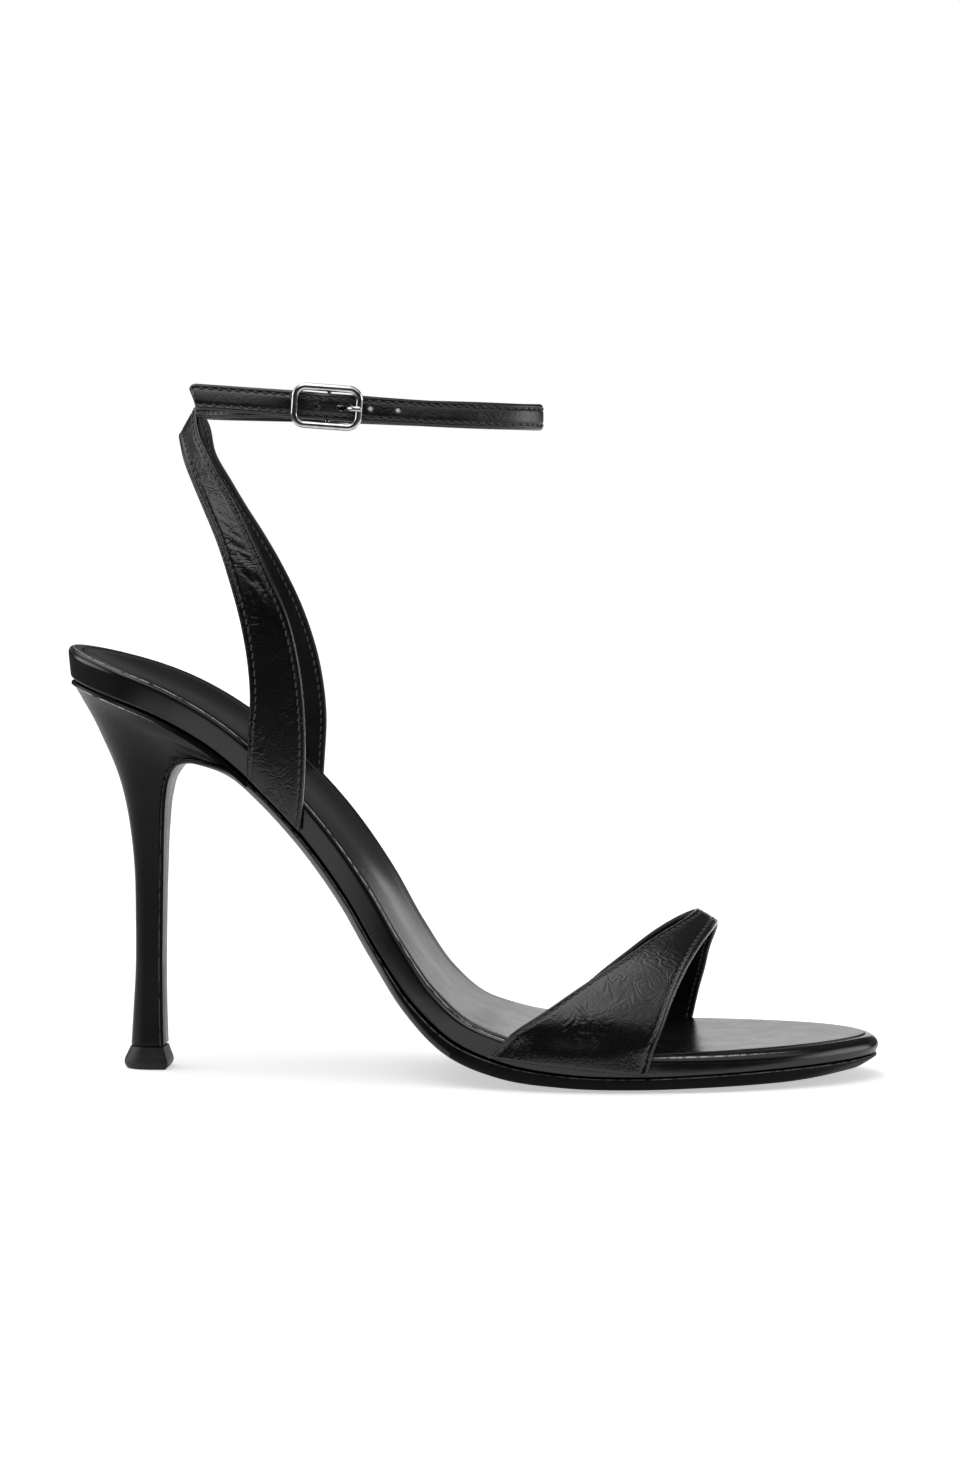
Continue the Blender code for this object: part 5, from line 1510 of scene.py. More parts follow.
@dataclass
class Band:
    """A strap: a wall of leather round a middle surface, with rolled edges, a lining and stitched seams."""

    last: Last
    name: str
    node: str
    wall: float = 1.6
    roll: float = 0.75
    seam: Seam = STRAP_SEAM
    trough: float = 0.24
    trough_half: float = 0.42
    puff: float = 0.06
    crown: float = 0.0
    foot_lean: float = 0.8
    foot_height: float = 5.0
    foot_clear: float = 0.1
    across_fine: int = 97
    across_middle: int = 30
    along_step: float = 0.42
    creases: tuple[Crease, ...] = ()
    crease_clear: float = 2.0
    relief_fade: Span = (0.1, 0.8)
    dome_low: float = 14.0
    edge_steps: Values = (0.0, 0.05, 0.16, 0.34, 0.56, 0.8, 1.05, 1.3, 1.5, 1.7, 1.9, 2.15, 2.5)
    edge_room: float = 2.3
    end_steps: Values = (0.0, 0.06, 0.18, 0.36, 0.58)
    end_margin: float = 0.85
    sharp: float = 60.0
    seam_sharp: float = 80.0
    leather: LeatherFinish = STRAP_LEATHER
    lining: LeatherFinish = LINING_LEATHER
    thread: LeatherFinish = STRAP_THREAD

    def foot_row(self, row: FootRow, across: Array, side: Side) -> Array:
        """Points of a row that hugs the platform's leaning wall, half a wall and the gap outside it."""
        x = row.rear_x + (row.front_x - row.rear_x) * across
        z = row.rear_z + (row.front_z - row.rear_z) * across
        s = self.last.line.place(x, z)
        foot = self.last.line.at(s)
        normal = self.last.line.normal(s)
        height = (x - foot[:, 0]) * normal[:, 0] + (z - foot[:, 1]) * normal[:, 1]
        short = np.maximum(GAP + self.foot_clear - height, 0.0)
        lean = self.foot_lean * np.clip(1.0 - (height + short) / self.foot_height, 0.0, 1.0)
        y = side.value * (self.last.half_width(side, s) + GAP + 0.5 * self.wall - lean)
        return np.stack([x + normal[:, 0] * short, y, z + normal[:, 1] * short], -1)

    def free_row(self, row: FreeRow, across: Array) -> Array:
        """Points from the rear to the front point, bowed away from the foot by a parabola."""
        rear = np.array(row.rear)
        front = np.array(row.front)
        line = rear + (front - rear) * across[:, None]
        middle = 0.5 * (rear + front)
        away = unit(np.array([0.0, middle[1], middle[2] - self.dome_low]))
        return line + away * (arch(across) * row.bulge)[:, None]

    def surface(self) -> Array:
        """Middle surface of the strap, of shape (rows, fine columns, 3)."""
        raise NotImplementedError

    def over_foot(
        self, lateral: Sequence[FootRow], free: Sequence[FreeRow], medial: Sequence[FootRow]
    ) -> Array:
        """Middle surface of a strap over the foot.

        Formula: the rows hug the platform, cross over and hug it again. Each column of them is carried
        smoothly from row to row, at places evenly spaced along the middle and closer at both ends.

        Args:
            lateral: Rows on the platform's lateral wall, from the sole up.
            free: Rows between the two walls.
            medial: Rows on the platform's medial wall, down to the sole.

        Returns:
            Points of shape (rows, fine columns, 3).
        """
        across = np.linspace(0.0, 1.0, self.across_fine)
        rows = [self.foot_row(row, across, Side.LATERAL) for row in lateral]
        rows += [self.free_row(row, across) for row in free]
        rows += [self.foot_row(row, across, Side.MEDIAL) for row in medial]
        table = np.array(rows)
        knots = chord_knots(table[:, self.across_fine // 2])
        at = self.places_along(float(knots[-1]))
        return through(knots, table.reshape(len(table), -1), at).reshape(len(at), -1, 3)

    def places_along(self, length: float) -> Array:
        """Places along the strap, evenly spaced and closer at both ends."""
        ends = np.array(self.end_steps)
        even = np.linspace(self.end_margin, length - self.end_margin, int(length / self.along_step))
        return np.concatenate([ends, even, (length - ends)[::-1]])

    def columns(self, surface: Array) -> tuple[Array, Array, Array]:
        """Lays columns at fixed distances from both edges.

        Args:
            surface: Middle surface on fine even columns.

        Returns:
            Middle points, distance of each from the nearer long edge, and its share across.
        """
        width = np.linalg.norm(np.diff(surface, axis=1), axis=2).sum(axis=1)
        steps = np.array(self.edge_steps)
        near = steps[None] * np.minimum(1.0, width / (self.edge_room * steps[-1]))[:, None]
        share = near / width[:, None]
        inner = np.linspace(0.0, 1.0, self.across_middle + 2)[1:-1]
        between = share[:, -1:] + (1.0 - 2.0 * share[:, -1:]) * inner
        share = np.concatenate([share, between, 1.0 - share[:, ::-1]], axis=1)
        place = share * (surface.shape[1] - 1)
        low = np.clip(place.astype(int), 0, surface.shape[1] - 2)
        row = np.arange(len(surface))[:, None]
        part = (place - low)[..., None]
        points = surface[row, low] * (1.0 - part) + surface[row, low + 1] * part
        return points, np.minimum(share, 1.0 - share) * width[:, None], share

    def relief(self, run: Array, edge: Array, share: Array, width: Array) -> Array:
        """Height of the leather's face: padded middle, puffed edge, trough along the seam, and creases.

        Args:
            run: Distance along the strap, for each row.
            edge: Distance from the nearer edge, for each point.
            share: Share across, for each point.
            width: Width of each row.

        Returns:
            Height for each point.
        """
        height = self.puff * bell(edge - 0.5 * self.seam.inset, 0.5 * self.seam.inset)
        height = height + self.crown * arch(share)
        height = height - self.trough * bell(edge - self.seam.inset, self.trough_half)
        inside = smooth_step(edge, self.seam.inset, self.seam.inset + self.crease_clear)
        for crease in self.creases:
            start = np.array([crease.start_run, crease.start_share])
            step = np.array([crease.end_run, crease.end_share]) - start
            along = run[:, None] - start[0]
            over = (share - start[1]) * width[:, None]
            reach = step[1] * width[:, None]
            t = np.clip((along * step[0] + over * reach) / (step[0] ** 2 + reach**2), 0.0, 1.0)
            off = np.hypot(along - t * step[0], over - t * reach)
            height = height + crease.height * bell(off, crease.half) * inside
        return height

    def shell(self) -> tuple[MeshDraft, Array, Array, Array]:
        """Wall of the strap.

        Formula: outer and inner face lie half a wall from the middle surface along its normal. Both close in
        to it over a quarter circle at every edge, and the outer one carries the relief.

        Returns:
            The draft mesh, the outer face, the outward normals, and the inner face.
        """
        middle, edge, share = self.columns(self.surface())
        run = chord_knots(middle[:, middle.shape[1] // 2])
        ends = np.minimum(run, run[-1] - run)[:, None]
        width = np.linalg.norm(np.diff(middle, axis=1), axis=2).sum(axis=1)
        normal = unit(np.cross(np.gradient(middle, axis=1), np.gradient(middle, run, axis=0)))
        closing = np.minimum(round_over(edge, self.roll), round_over(ends, self.roll))
        distance = np.minimum(edge, ends)
        relief = self.relief(run, edge, share, width) * smooth_step(distance, *self.relief_fade)
        outer = middle + normal * (0.5 * self.wall * closing + relief)[..., None]
        inner = middle - normal * (0.5 * self.wall * closing)[..., None]
        grid = np.concatenate([outer, inner[:, ::-1]], axis=1)
        columns = middle.shape[1]
        finish = np.where(np.arange(2 * columns) < columns, 0, 1)
        edges = np.concatenate([distance, distance[:, ::-1]], axis=1)
        draft = MeshDraft()
        draft.add(grid, wrap=True, finish=finish[None], edge=edges)
        return draft, outer, normal, inner

    def seam_lines(self, face: Array, normal: Array) -> list[tuple[Array, Array]]:
        """The two lines on a face at the seam's inset from the long edges, with their outward directions."""
        column = int(np.argmin(np.abs(np.array(self.edge_steps) - self.seam.inset)))
        ends = len(self.end_steps)
        keep = slice(ends, len(face) - ends)
        return [(face[keep, k], normal[keep, k]) for k in (column, face.shape[1] - 1 - column)]

    def strap(self, draft: MeshDraft) -> Piece:
        """The strap itself, with its leather and its lining."""
        materials = [self.leather.material(), self.lining.material()]
        return draft.piece(self.name, self.node, materials, self.sharp)

    def sew(self, outer: Array, normal: Array, inner: Array) -> None:
        """The strap's stitches, on its face and on its lining."""
        sewn = MeshDraft()
        for face, outward in ((outer, normal), (inner, -normal)):
            for line, away in self.seam_lines(face, outward):
                sewn.add(self.seam.stitches(line, away), wrap=True)
        sewn.piece(self.name + "_stitches", self.node, [self.thread.material()], self.seam_sharp)

    def build(self) -> None:
        """The strap and its stitches."""
        draft, outer, normal, inner = self.shell()
        self.strap(draft)
        self.sew(outer, normal, inner)


@dataclass
class VampStrap(Band):
    """The strap over the toes."""

    name: str = "vamp_band"
    node: str = "vamp_strap"
    foot_lean: float = -0.35
    creases: tuple[Crease, ...] = VAMP_CREASES
    leather: LeatherFinish = VAMP_LEATHER

    def surface(self) -> Array:
        """Middle surface from the lateral to the medial side of the sole."""
        return self.over_foot(VAMP_LATERAL_FOOT, VAMP, VAMP_MEDIAL_FOOT)


@dataclass
class BackStrap(Band):
    """The strap that rises from both sides of the waist and wraps round behind the ankle."""

    name: str = "back_band"
    node: str = "ankle_straps"
    across_middle: int = 14
    along_step: float = 0.5
    creases: tuple[Crease, ...] = BACK_CREASES

    def surface(self) -> Array:
        """Middle surface from the lateral side of the waist round the back to the medial side."""
        return self.over_foot(BACK_LATERAL_FOOT, BACK, BACK_MEDIAL_FOOT)


@dataclass
class Buckle:
    """The plated frame with its centre bar, and the prong."""

    centre: Point = (69.4, -25.7, 171.6)
    length: float = 18.2
    height: float = 11.4
    corner: float = 2.7
    corner_steps: int = 15
    wire_wide: float = 1.85
    wire_deep: float = 1.5
    wire_sides: int = 20
    tilt: float = math.radians(4.2)
    bar_radius: float = 0.6
    bar_setback: float = 3.1
    bar_bends: Spans = ((0.0, 0.0), (0.45, 0.0), (0.9, 0.2), (1.0, 0.9))
    bar_end: float = 0.4
    bar_steps: int = 60
    bar_sides: int = 14
    prong_wide: float = 1.3
    prong_deep: float = 0.95
    prong_eye: float = 1.42
    prong_eye_turn: Span = (430.0, 180.0)
    prong_eye_steps: int = 30
    prong_rise: Spans = (
        (1.6, 1.9), (2.7, 2.1), (3.7, 1.5), (4.9, 0.2), (6.1, -1.0), (7.2, -1.6), (8.4, -1.72), (9.1, -1.66),
    )
    prong_end: float = 0.55
    prong_end_run: float = 0.6
    prong_end_steps: Values = (0.45, 0.3, 0.18, 0.08, 0.0)
    prong_steps: int = 90
    prong_sides: int = 16
    sharp: float = 60.0
    finish: MetalFinish = PLATED_WIRE

    def place(self, along: Array, inward: Array, up: Array) -> Array:
        """Turns buckle places (along the strap, in towards the ankle, up) into space, with its tilt."""
        x = along * math.cos(self.tilt) + up * math.sin(self.tilt)
        z = up * math.cos(self.tilt) - along * math.sin(self.tilt)
        return np.stack([x, inward + 0.0 * x, z], -1) + np.array(self.centre)

    def point(self, along: float, inward: float, up: float) -> Array:
        """One buckle place in space."""
        return self.place(*np.array([[along], [inward], [up]]))[0]

    def direction(self, along: float, inward: float, up: float) -> Array:
        """One direction on the buckle in space."""
        return self.point(along, inward, up) - np.array(self.centre)

    def wire(
        self,
        path: Array,
        flat: Array,
        wide: npt.ArrayLike,
        deep: npt.ArrayLike,
        sides: int,
        closed: bool = False,
    ) -> Array:
        """Carries an oval along a path that lies in a plane.

        Args:
            path: Points of the path.
            flat: Normal of the plane that the path lies in.
            wide: Half width in the plane, one value or one for each point.
            deep: Half depth across the plane.
            sides: Points round the oval.
            closed: True for a path that returns to its start.

        Returns:
            Points of shape (path points, sides, 3), with the first row repeated at the end if closed.
        """
        if closed:
            heading = unit(np.roll(path, -1, axis=0) - np.roll(path, 1, axis=0))
        else:
            heading = unit(np.gradient(path, axis=0))
        side = unit(np.cross(heading, flat))
        angle = full_turn(sides)[None, :, None]
        wide = np.broadcast_to(wide, len(path))[:, None, None]
        deep = np.broadcast_to(deep, len(path))[:, None, None]
        grid = path[:, None] + wide * np.cos(angle) * side[:, None] + deep * np.sin(angle) * flat
        return np.concatenate([grid, grid[:1]]) if closed else grid

    def frame_path(self) -> Array:
        """Middle line of the frame: a rounded rectangle, each corner a quarter circle."""
        half_length = 0.5 * (self.length - self.wire_wide) - self.corner
        half_height = 0.5 * (self.height - self.wire_wide) - self.corner
        signs = np.array([(1, 1), (-1, 1), (-1, -1), (1, -1)], float)
        angle = 0.5 * math.pi * (np.arange(4)[:, None] + np.linspace(0.0, 1.0, self.corner_steps))
        along = signs[:, :1] * half_length + self.corner * np.cos(angle)
        up = signs[:, 1:] * half_height + self.corner * np.sin(angle)
        return self.place(along.ravel(), 0.0 * along.ravel(), up.ravel())

    def bar_path(self) -> Array:
        """Middle line of the bar: in from the frame's top, down behind it and back out at the bottom."""
        top = 0.5 * (self.height - self.wire_wide)
        half = np.array([(share * self.bar_setback, top - drop) for share, drop in self.bar_bends])
        bends = np.concatenate([half, half[::-1] * (1.0, -1.0)])
        knots = chord_knots(bends)
        bent = along_line(bends, knots, np.linspace(0.0, knots[-1], self.bar_steps))
        return self.place(np.zeros(self.bar_steps), bent[:, 0], bent[:, 1])

    def prong_path(self) -> Array:
        """Middle line of the prong: an eye round the bar, then a rise through the hole to the frame."""
        angle = np.radians(np.linspace(*self.prong_eye_turn, self.prong_eye_steps))
        eye = self.prong_eye * np.stack([np.sin(angle), np.cos(angle)], -1) + (0.0, self.bar_setback)
        path = np.concatenate([eye, np.array(self.prong_rise)])
        knots = chord_knots(path)
        shaft = np.linspace(0.0, knots[-1] - self.prong_end_run, self.prong_steps)
        end = knots[-1] - np.array(self.prong_end_steps)
        fine = through(knots, path, np.concatenate([shaft, end]))
        return self.place(fine[:, 0], fine[:, 1], np.zeros(len(fine)))

    def rounded_ends(self, path: Array, radius: float) -> Array:
        """Share of the full width along a wire whose two ends are round."""
        run = chord_knots(path)
        return round_over(np.minimum(run, run[-1] - run), radius)

    def build(self) -> None:
        """The frame with its bar, and the prong from its eye on the bar to its rest on the frame."""
        draft = MeshDraft()
        face = self.direction(0.0, 1.0, 0.0)
        sizes = (0.5 * self.wire_wide, 0.5 * self.wire_deep, self.wire_sides)
        draft.add(self.wire(self.frame_path(), face, *sizes, closed=True), wrap=True)
        bar = self.bar_path()
        thick = self.bar_radius * self.rounded_ends(bar, self.bar_end)
        draft.add(self.wire(bar, self.direction(1.0, 0.0, 0.0), thick, thick, self.bar_sides), wrap=True)
        draft.piece("frame_wire", "buckle_frame", [self.finish.material()], self.sharp)
        draft = MeshDraft()
        prong = self.prong_path()
        share = 0.5 * self.rounded_ends(prong, self.prong_end)
        sizes = (self.prong_deep * share, self.prong_wide * share, self.prong_sides)
        draft.add(self.wire(prong, self.direction(0.0, 0.0, 1.0), *sizes), wrap=True)
        draft.piece("prong_wire", "buckle_prong", [self.finish.material()], self.sharp)


class HoleFrame(NamedTuple):
    """Where a hole is punched: its middle, and the directions out of it, along the strap and up."""

    centre: Array
    out: Array
    along: Array
    up: Array


@dataclass
class AnkleStrap(Band):
    """The long strap round the ankle, with its eye on the bar, punched holes and slanted tip."""

    name: str = "ankle_band"
    node: str = "ankle_straps"
    seam: Seam = FINE_SEAM
    crown: float = 0.25
    across_middle: int = 6
    along_step: float = 0.5
    leather: LeatherFinish = ANKLE_LEATHER
    buckle: Buckle = field(default_factory=Buckle)
    width: float = 6.8
    look_up: float = math.radians(15.0)
    look_up_framed: float = math.radians(-8.0)
    framed_half: float = 11.0
    outer_side: float = -15.0
    tip_run: float = 4.0
    tip_ease: Span = (3.6, 1.8)
    tip_ease_steps: int = 6
    tip_steps: int = 12
    tip_slant: float = 0.9
    tip_slant_run: float = 12.0
    tip_round: float = 1.6
    hole_radius: float = 0.62
    hole_places: Values = (67.3, 80.4, 87.3)
    prong_hole_place: float = 74.2
    prong_hole: Span = (2.2, 1.0)
    punch_depth: float = 2.2
    punch_sides: int = 28
    eye_wall: float = 0.9
    eye_square: float = 0.4
    eye_sides: int = 20
    eye_turns: int = 41
    slot_half: float = 0.95
    slot_reach: float = 2.7
    slot_depth: float = 2.15
    ring_radius: float = 0.95
    ring_wire: float = 0.16
    ring_lift: float = 0.9
    ring_turns: int = 37
    ring_sides: int = 10
    core_places: Values = (80.4, 87.3)
    core_rows: Spans = ((-0.7, 0.0), (-0.7, 1.0), (-0.14, 1.0), (-0.10, 0.0))
    core_fit: float = 1.02
    core: LeatherFinish = PAINTED_HOLE_LIGHT

    def surface(self) -> Array:
        """Middle surface: an upright band along the middle line, with a slanted round tip."""
        line = np.array([row[1:4] for row in ANKLE])
        knots = chord_knots(line)
        length = float(knots[-1])
        even = np.linspace(self.end_margin, length - self.tip_run, int(length / self.along_step))
        ease = np.linspace(*self.tip_ease, self.tip_ease_steps)
        tip = self.tip_round * np.linspace(1.0, 0.0, self.tip_steps) ** 2
        at = np.concatenate([self.end_steps, even, length - np.concatenate([ease, tip])])
        centre = through(knots, line, at)
        heading = unit(np.gradient(centre, at, axis=0))
        upright = unit(np.array([0.0, 0.0, 1.0]) - heading * heading[:, 2:3])
        left = length - at
        tuck = np.clip(1.0 - left / self.tip_round, 0.0, 1.0)
        half = 0.5 * self.width - self.tip_round * (1.0 - np.sqrt(1.0 - tuck**2))
        slant = self.tip_slant * np.clip(1.0 - left / self.tip_slant_run, 0.0, 1.0)
        outward = unit(np.cross(upright, heading))
        beside = centre[:, 0] - self.buckle.centre[0]
        framed = bell(beside, self.framed_half) * (centre[:, 1] < self.outer_side)
        tilt = (self.look_up + (self.look_up_framed - self.look_up) * framed)[:, None]
        tilt = tilt * np.clip(-outward[:, 1:2], 0.0, 1.0)
        upright = upright * np.cos(tilt) - outward * np.sin(tilt)
        across = np.linspace(-1.0, 1.0, self.across_fine)[None, :, None]
        upper = centre[:, None] + upright[:, None] * across * half[:, None, None]
        return upper + heading[:, None] * across * slant[:, None, None]

    def hole_frame(self, face: Array, normal: Array, place: float) -> HoleFrame:
        """Where a hole goes on the outer face, at a place along the shoe."""
        middle = face.shape[1] // 2
        line = face[:, middle]
        number = np.arange(len(line))
        outside = number[(number > len(line) // 2) & (line[:, 1] < self.outer_side)]
        k = int(outside[np.argmin(np.abs(line[outside, 0] - place))])
        out = normal[k, middle]
        along = unit(line[k + 2] - line[k - 2])
        return HoleFrame(line[k], out, along, unit(np.cross(out, along)))

    def cutter(self, name: str, hole: HoleFrame, radii: Span, depth: float) -> Piece:
        """An oval punch through the strap, closed at both ends."""
        angle = full_turn(self.punch_sides)[:, None]
        oval = radii[0] * np.cos(angle) * hole.along + radii[1] * np.sin(angle) * hole.up
        ends = ((-1.0, 0.0), (-1.0, 1.0), (1.0, 1.0), (1.0, 0.0))
        draft = MeshDraft()
        rows = [hole.centre + hole.out * level * depth + oval * width for level, width in ends]
        draft.add(np.array(rows), wrap=True)
        return placed(name, draft.mesh(name))

    def punch(self, strap: Piece, cutters: Sequence[Piece]) -> None:
        """Cuts the punches out of the strap for good and removes them."""
        for cutter in cutters:
            modifier = strap.modifiers.new(cutter.name, "BOOLEAN")
            modifier.operation = "DIFFERENCE"
            modifier.solver = "EXACT"
            modifier.object = cutter
        graph = bpy.context.evaluated_depsgraph_get()
        cut = bpy.data.meshes.new_from_object(strap.evaluated_get(graph))
        strap.modifiers.clear()
        strap.data = cut
        for cutter in cutters:
            bpy.data.objects.remove(cutter, do_unlink=True)

    def eye_grid(self) -> Array:
        """Two short sleeves above and below the prong: a rounded wall turned about the bar."""
        a = full_turn(self.eye_sides)
        square = [np.sign(wave) * np.abs(wave) ** self.eye_square for wave in (np.cos(a), np.sin(a))]
        radius = self.buckle.bar_radius + GAP + 0.5 * self.eye_wall * (1.0 + square[0])
        reach = 0.5 * (0.5 * self.width - self.slot_half)
        turn = np.linspace(0.0, 2.0 * math.pi, self.eye_turns)[:, None]
        along = np.cos(turn) * radius
        inward = self.buckle.bar_setback + np.sin(turn) * radius
        sleeves = []
        for sign in (-1.0, 1.0):
            up = sign * (self.slot_half + reach) + reach * square[1]
            sleeves.append(self.buckle.place(along, inward, np.broadcast_to(up, along.shape)))
        return np.array(sleeves)

    def rim_grid(self, hole: HoleFrame) -> Array:
        """Raised rim of a hole: a thin wire turned about the hole's middle."""
        turn = np.linspace(0.0, 2.0 * math.pi, self.ring_turns)[:, None, None]
        around = full_turn(self.ring_sides)[None, :, None]
        away = self.ring_radius + self.ring_wire * np.cos(around)
        flat = np.cos(turn) * hole.along + np.sin(turn) * hole.up
        return hole.centre + flat * away + hole.out * (self.ring_lift * self.ring_wire * np.sin(around))

    def core_grid(self, hole: HoleFrame) -> Array:
        """Pale core of a hole: a thick disc a little below the strap's face, painted light that stands for
        the white backdrop seen through the hole.
        """
        angle = full_turn(self.ring_turns - 1)[:, None]
        flat = np.cos(angle) * hole.along + np.sin(angle) * hole.up
        level, width = np.array(self.core_rows).T[..., None, None]
        return hole.centre + hole.out * level + flat * (width * self.hole_radius * self.core_fit)

    def build(self) -> None:
        """The strap with its eye, punched holes, hole rims, pale cores and stitches."""
        draft, outer, normal, inner = self.shell()
        draft.add(self.eye_grid(), wrap=True)
        strap = self.strap(draft)
        cutters = []
        rims = MeshDraft()
        cores = MeshDraft()
        for place in self.hole_places:
            hole = self.hole_frame(outer, normal, place)
            radii = (self.hole_radius, self.hole_radius)
            cutters.append(self.cutter(f"punch_{place}", hole, radii, self.punch_depth))
            rims.add(self.rim_grid(hole), wrap=True)
            if place in self.core_places:
                cores.add(self.core_grid(hole), wrap=True)
        hole = self.hole_frame(outer, normal, self.prong_hole_place)
        cutters.append(self.cutter("prong_punch", hole, self.prong_hole, self.punch_depth))
        slot = HoleFrame(self.buckle.point(0.0, self.buckle.bar_setback, 0.0), *np.eye(3)[[1, 0, 2]])
        cutters.append(self.cutter("prong_slot", slot, (self.slot_reach, self.slot_half), self.slot_depth))
        self.punch(strap, cutters)
        rims.piece(self.name + "_hole_rims", self.node, [self.leather.material()], self.seam_sharp)
        cores.piece(self.name + "_hole_cores", self.node, [self.core.material()], self.sharp)
        self.sew(outer, normal, inner)


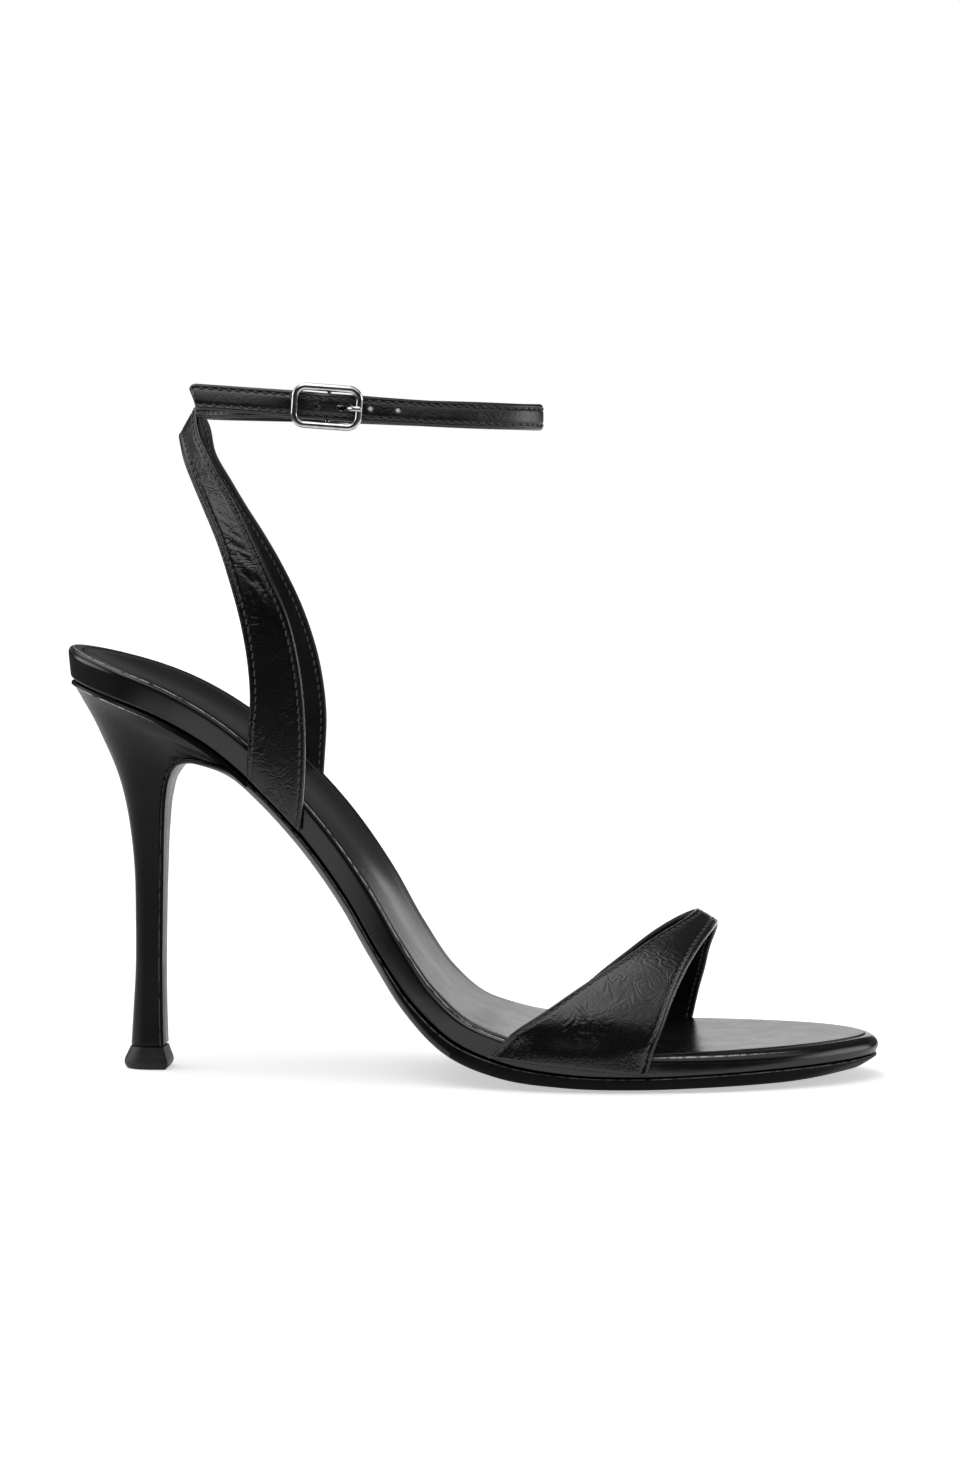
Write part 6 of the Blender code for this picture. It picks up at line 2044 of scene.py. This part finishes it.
@dataclass
class Studio:
    """Pale floor, soft light from overhead and behind, one card light behind the toe, and the camera."""

    floor_half: float = 6.0
    floor_points: int = 9
    floor_drop: float = 0.05
    floor_colour: Colour = (0.93, 0.93, 0.93)
    floor_shade: float = 0.985
    floor_clouds: float = 3.0
    floor_rough: float = 0.7
    floor_specular: float = 0.1
    floor_glow: float = 0.55
    glow_share: float = 0.28
    lit_spot: float = 0.18
    lit_left: float = 0.8
    dark_from: float = 0.46
    floor_far: float = 0.06
    overhead: float = 2.0
    overhead_rise: Span = (0.40, 0.66)
    overhead_right: float = 0.35
    right_fade: Span = (-0.12, 0.16)
    overhead_left: float = 0.25
    left_fade: Span = (-0.66, -0.26)
    overhead_behind: float = 0.12
    behind_fade: Span = (0.16, 0.52)
    behind_slant: float = 0.8
    backdrop: float = 0.12
    backdrop_low: Span = (0.05, 0.14)
    backdrop_high: Span = (0.30, 0.55)
    backdrop_turn: Span = (0.05, 0.45)
    side_panels: float = 2.0
    side_turn: Span = (0.76, 0.95)
    side_low: Span = (-0.1, 0.1)
    fill: float = 0.02
    card: float = 0.98
    card_centre: Point = (176.0, 150.0, 39.0)
    card_size: Span = (130.0, 74.0)
    azimuth: float = math.radians(4.5)
    distance: float = 1100.0
    camera_height: float = 158.0
    aim: Point = (106.1, 0.0, 86.2)
    lens: float = 103.84
    sensor: float = 36.0
    clip_near: float = 0.05

    def build_floor(self) -> None:
        """A flat floor with a faint change of tone. Only its part near the shoe shines into the leather."""
        side = np.linspace(-self.floor_half, self.floor_half, self.floor_points) / MM
        x, y = np.meshgrid(side + ORIGIN_ALONG, side, indexing="ij")
        draft = MeshDraft()
        draft.add(np.stack([x, y, np.full_like(x, -self.floor_drop)], -1))
        floor = placed("floor", draft.mesh("floor"))
        if floor.data.polygons[0].normal.z < 0.0:
            floor.data.flip_normals()
        material = bpy.data.materials.new("pale_floor")
        material.use_nodes = True
        graph = Graph(material.node_tree)
        place = graph.place()
        camera = graph.node("ShaderNodeLightPath").outputs["Is Camera Ray"]
        axes = graph.axes(place)
        left = graph.math("MULTIPLY", graph.math("MINIMUM", axes[0], 0.0), self.lit_left)
        front = graph.math("MINIMUM", axes[1], 0.0)
        square = graph.math("ADD", graph.math("MULTIPLY", left, left), graph.math("MULTIPLY", front, front))
        near = graph.ramp(graph.math("SQRT", square), self.lit_spot, self.dark_from, 1.0, self.floor_far)
        shade = tuple(self.floor_shade * c for c in self.floor_colour)
        clouds = graph.noise(place, self.floor_clouds, 2.0)
        pale = graph.mix(clouds, (*self.floor_colour, 1.0), (*shade, 1.0))
        glow = graph.math("MAXIMUM", camera, graph.math("MULTIPLY", near, self.glow_share))
        looks = {
            "Base Color": graph.mix(graph.math("MAXIMUM", camera, near), BLACK, pale),
            "Emission Color": graph.mix(glow, BLACK, pale),
            "Emission Strength": self.floor_glow,
            "Roughness": self.floor_rough,
            "Specular IOR Level": self.floor_specular,
        }
        graph.feed(material.node_tree.nodes["Principled BSDF"], looks)
        floor.data.materials.append(material)

    def build_light(self) -> None:
        """Light from all round: bright overhead, pale behind, panels at both sides, white to the camera.

        Formula: each part of it is a product of S-shaped changes over the ray's own axes.
        """
        world = bpy.data.worlds.new("studio")
        world.use_nodes = True
        bpy.context.scene.world = world
        world.node_tree.nodes.clear()
        graph = Graph(world.node_tree)
        x, y, z = graph.axes(graph.node("ShaderNodeTexCoord").outputs["Generated"])
        top = graph.ramp(z, *self.overhead_rise, 0.0, self.overhead)
        top = graph.math("MULTIPLY", top, graph.ramp(x, *self.right_fade, 1.0, self.overhead_right))
        top = graph.math("MULTIPLY", top, graph.ramp(x, *self.left_fade, self.overhead_left, 1.0))
        slant = graph.math("ADD", y, graph.math("MULTIPLY", x, self.behind_slant))
        top = graph.math("MULTIPLY", top, graph.ramp(slant, *self.behind_fade, 1.0, self.overhead_behind))
        high = graph.ramp(z, *self.backdrop_high, self.backdrop, 0.0)
        low = graph.math("MULTIPLY", graph.ramp(y, *self.backdrop_turn), graph.ramp(z, *self.backdrop_low))
        sides = graph.ramp(graph.math("ABSOLUTE", x), *self.side_turn, 0.0, self.side_panels)
        top = graph.math("ADD", top, graph.math("MULTIPLY", sides, graph.ramp(z, *self.side_low)))
        light = graph.math("ADD", graph.math("MULTIPLY", high, low), graph.math("ADD", top, self.fill))
        lit = graph.node("ShaderNodeBackground", {"Color": WHITE, "Strength": light})
        seen = graph.node("ShaderNodeBackground", {"Color": WHITE, "Strength": 1.0})
        camera = graph.node("ShaderNodeLightPath").outputs["Is Camera Ray"]
        mixed = graph.node("ShaderNodeMixShader", {0: camera, 1: lit.outputs[0], 2: seen.outputs[0]})
        graph.node("ShaderNodeOutputWorld", {"Surface": mixed.outputs[0]})

    def build_card(self) -> None:
        """An even flat light behind the toe that shines along the sock, towards the camera's side."""
        data = bpy.data.lights.new("card", "AREA")
        data.shape = "RECTANGLE"
        data.size = self.card_size[0] * MM
        data.size_y = self.card_size[1] * MM
        data.energy = self.card * math.pi * data.size * data.size_y
        light = placed("card", data)
        light.location = (Vector(self.card_centre) - Vector((ORIGIN_ALONG, 0.0, 0.0))) * MM
        light.rotation_euler = (-0.5 * math.pi, 0.0, 0.0)

    def build_camera(self) -> None:
        """The camera at the photograph's angle."""
        aim = Vector(self.aim) - Vector((ORIGIN_ALONG, 0.0, 0.0))
        sideways = self.distance * math.sin(self.azimuth)
        back = -self.distance * math.cos(self.azimuth)
        eye = Vector((aim.x + sideways, aim.y + back, self.camera_height))
        data = bpy.data.cameras.new("camera")
        data.lens = self.lens
        data.sensor_width = self.sensor
        data.clip_start = self.clip_near
        camera = placed("camera", data)
        camera.location = eye * MM
        camera.rotation_euler = (aim - eye).to_track_quat("-Z", "Y").to_euler()
        bpy.context.scene.camera = camera

    def build(self) -> None:
        """Floor, light, camera and plain colour handling."""
        self.build_floor()
        self.build_light()
        self.build_card()
        self.build_camera()
        bpy.context.scene.view_settings.view_transform = "Standard"
        bpy.context.scene.view_settings.look = "None"


def main() -> None:
    """Builds every piece of the shoe, then the studio."""
    logging.basicConfig(level=logging.INFO, format="%(name)s: %(message)s")
    last = Last()
    platform = Platform(last)
    platform.build_wrap()
    platform.build_sock()
    outsole = Outsole(last)
    outsole.build()
    heel = Heel(last, outsole)
    heel.build_cover()
    heel.build_top_piece()
    VampStrap(last).build()
    BackStrap(last).build()
    buckle = Buckle()
    AnkleStrap(last, buckle=buckle).build()
    buckle.build()
    Studio().build()


if __name__ == "__main__":
    main()
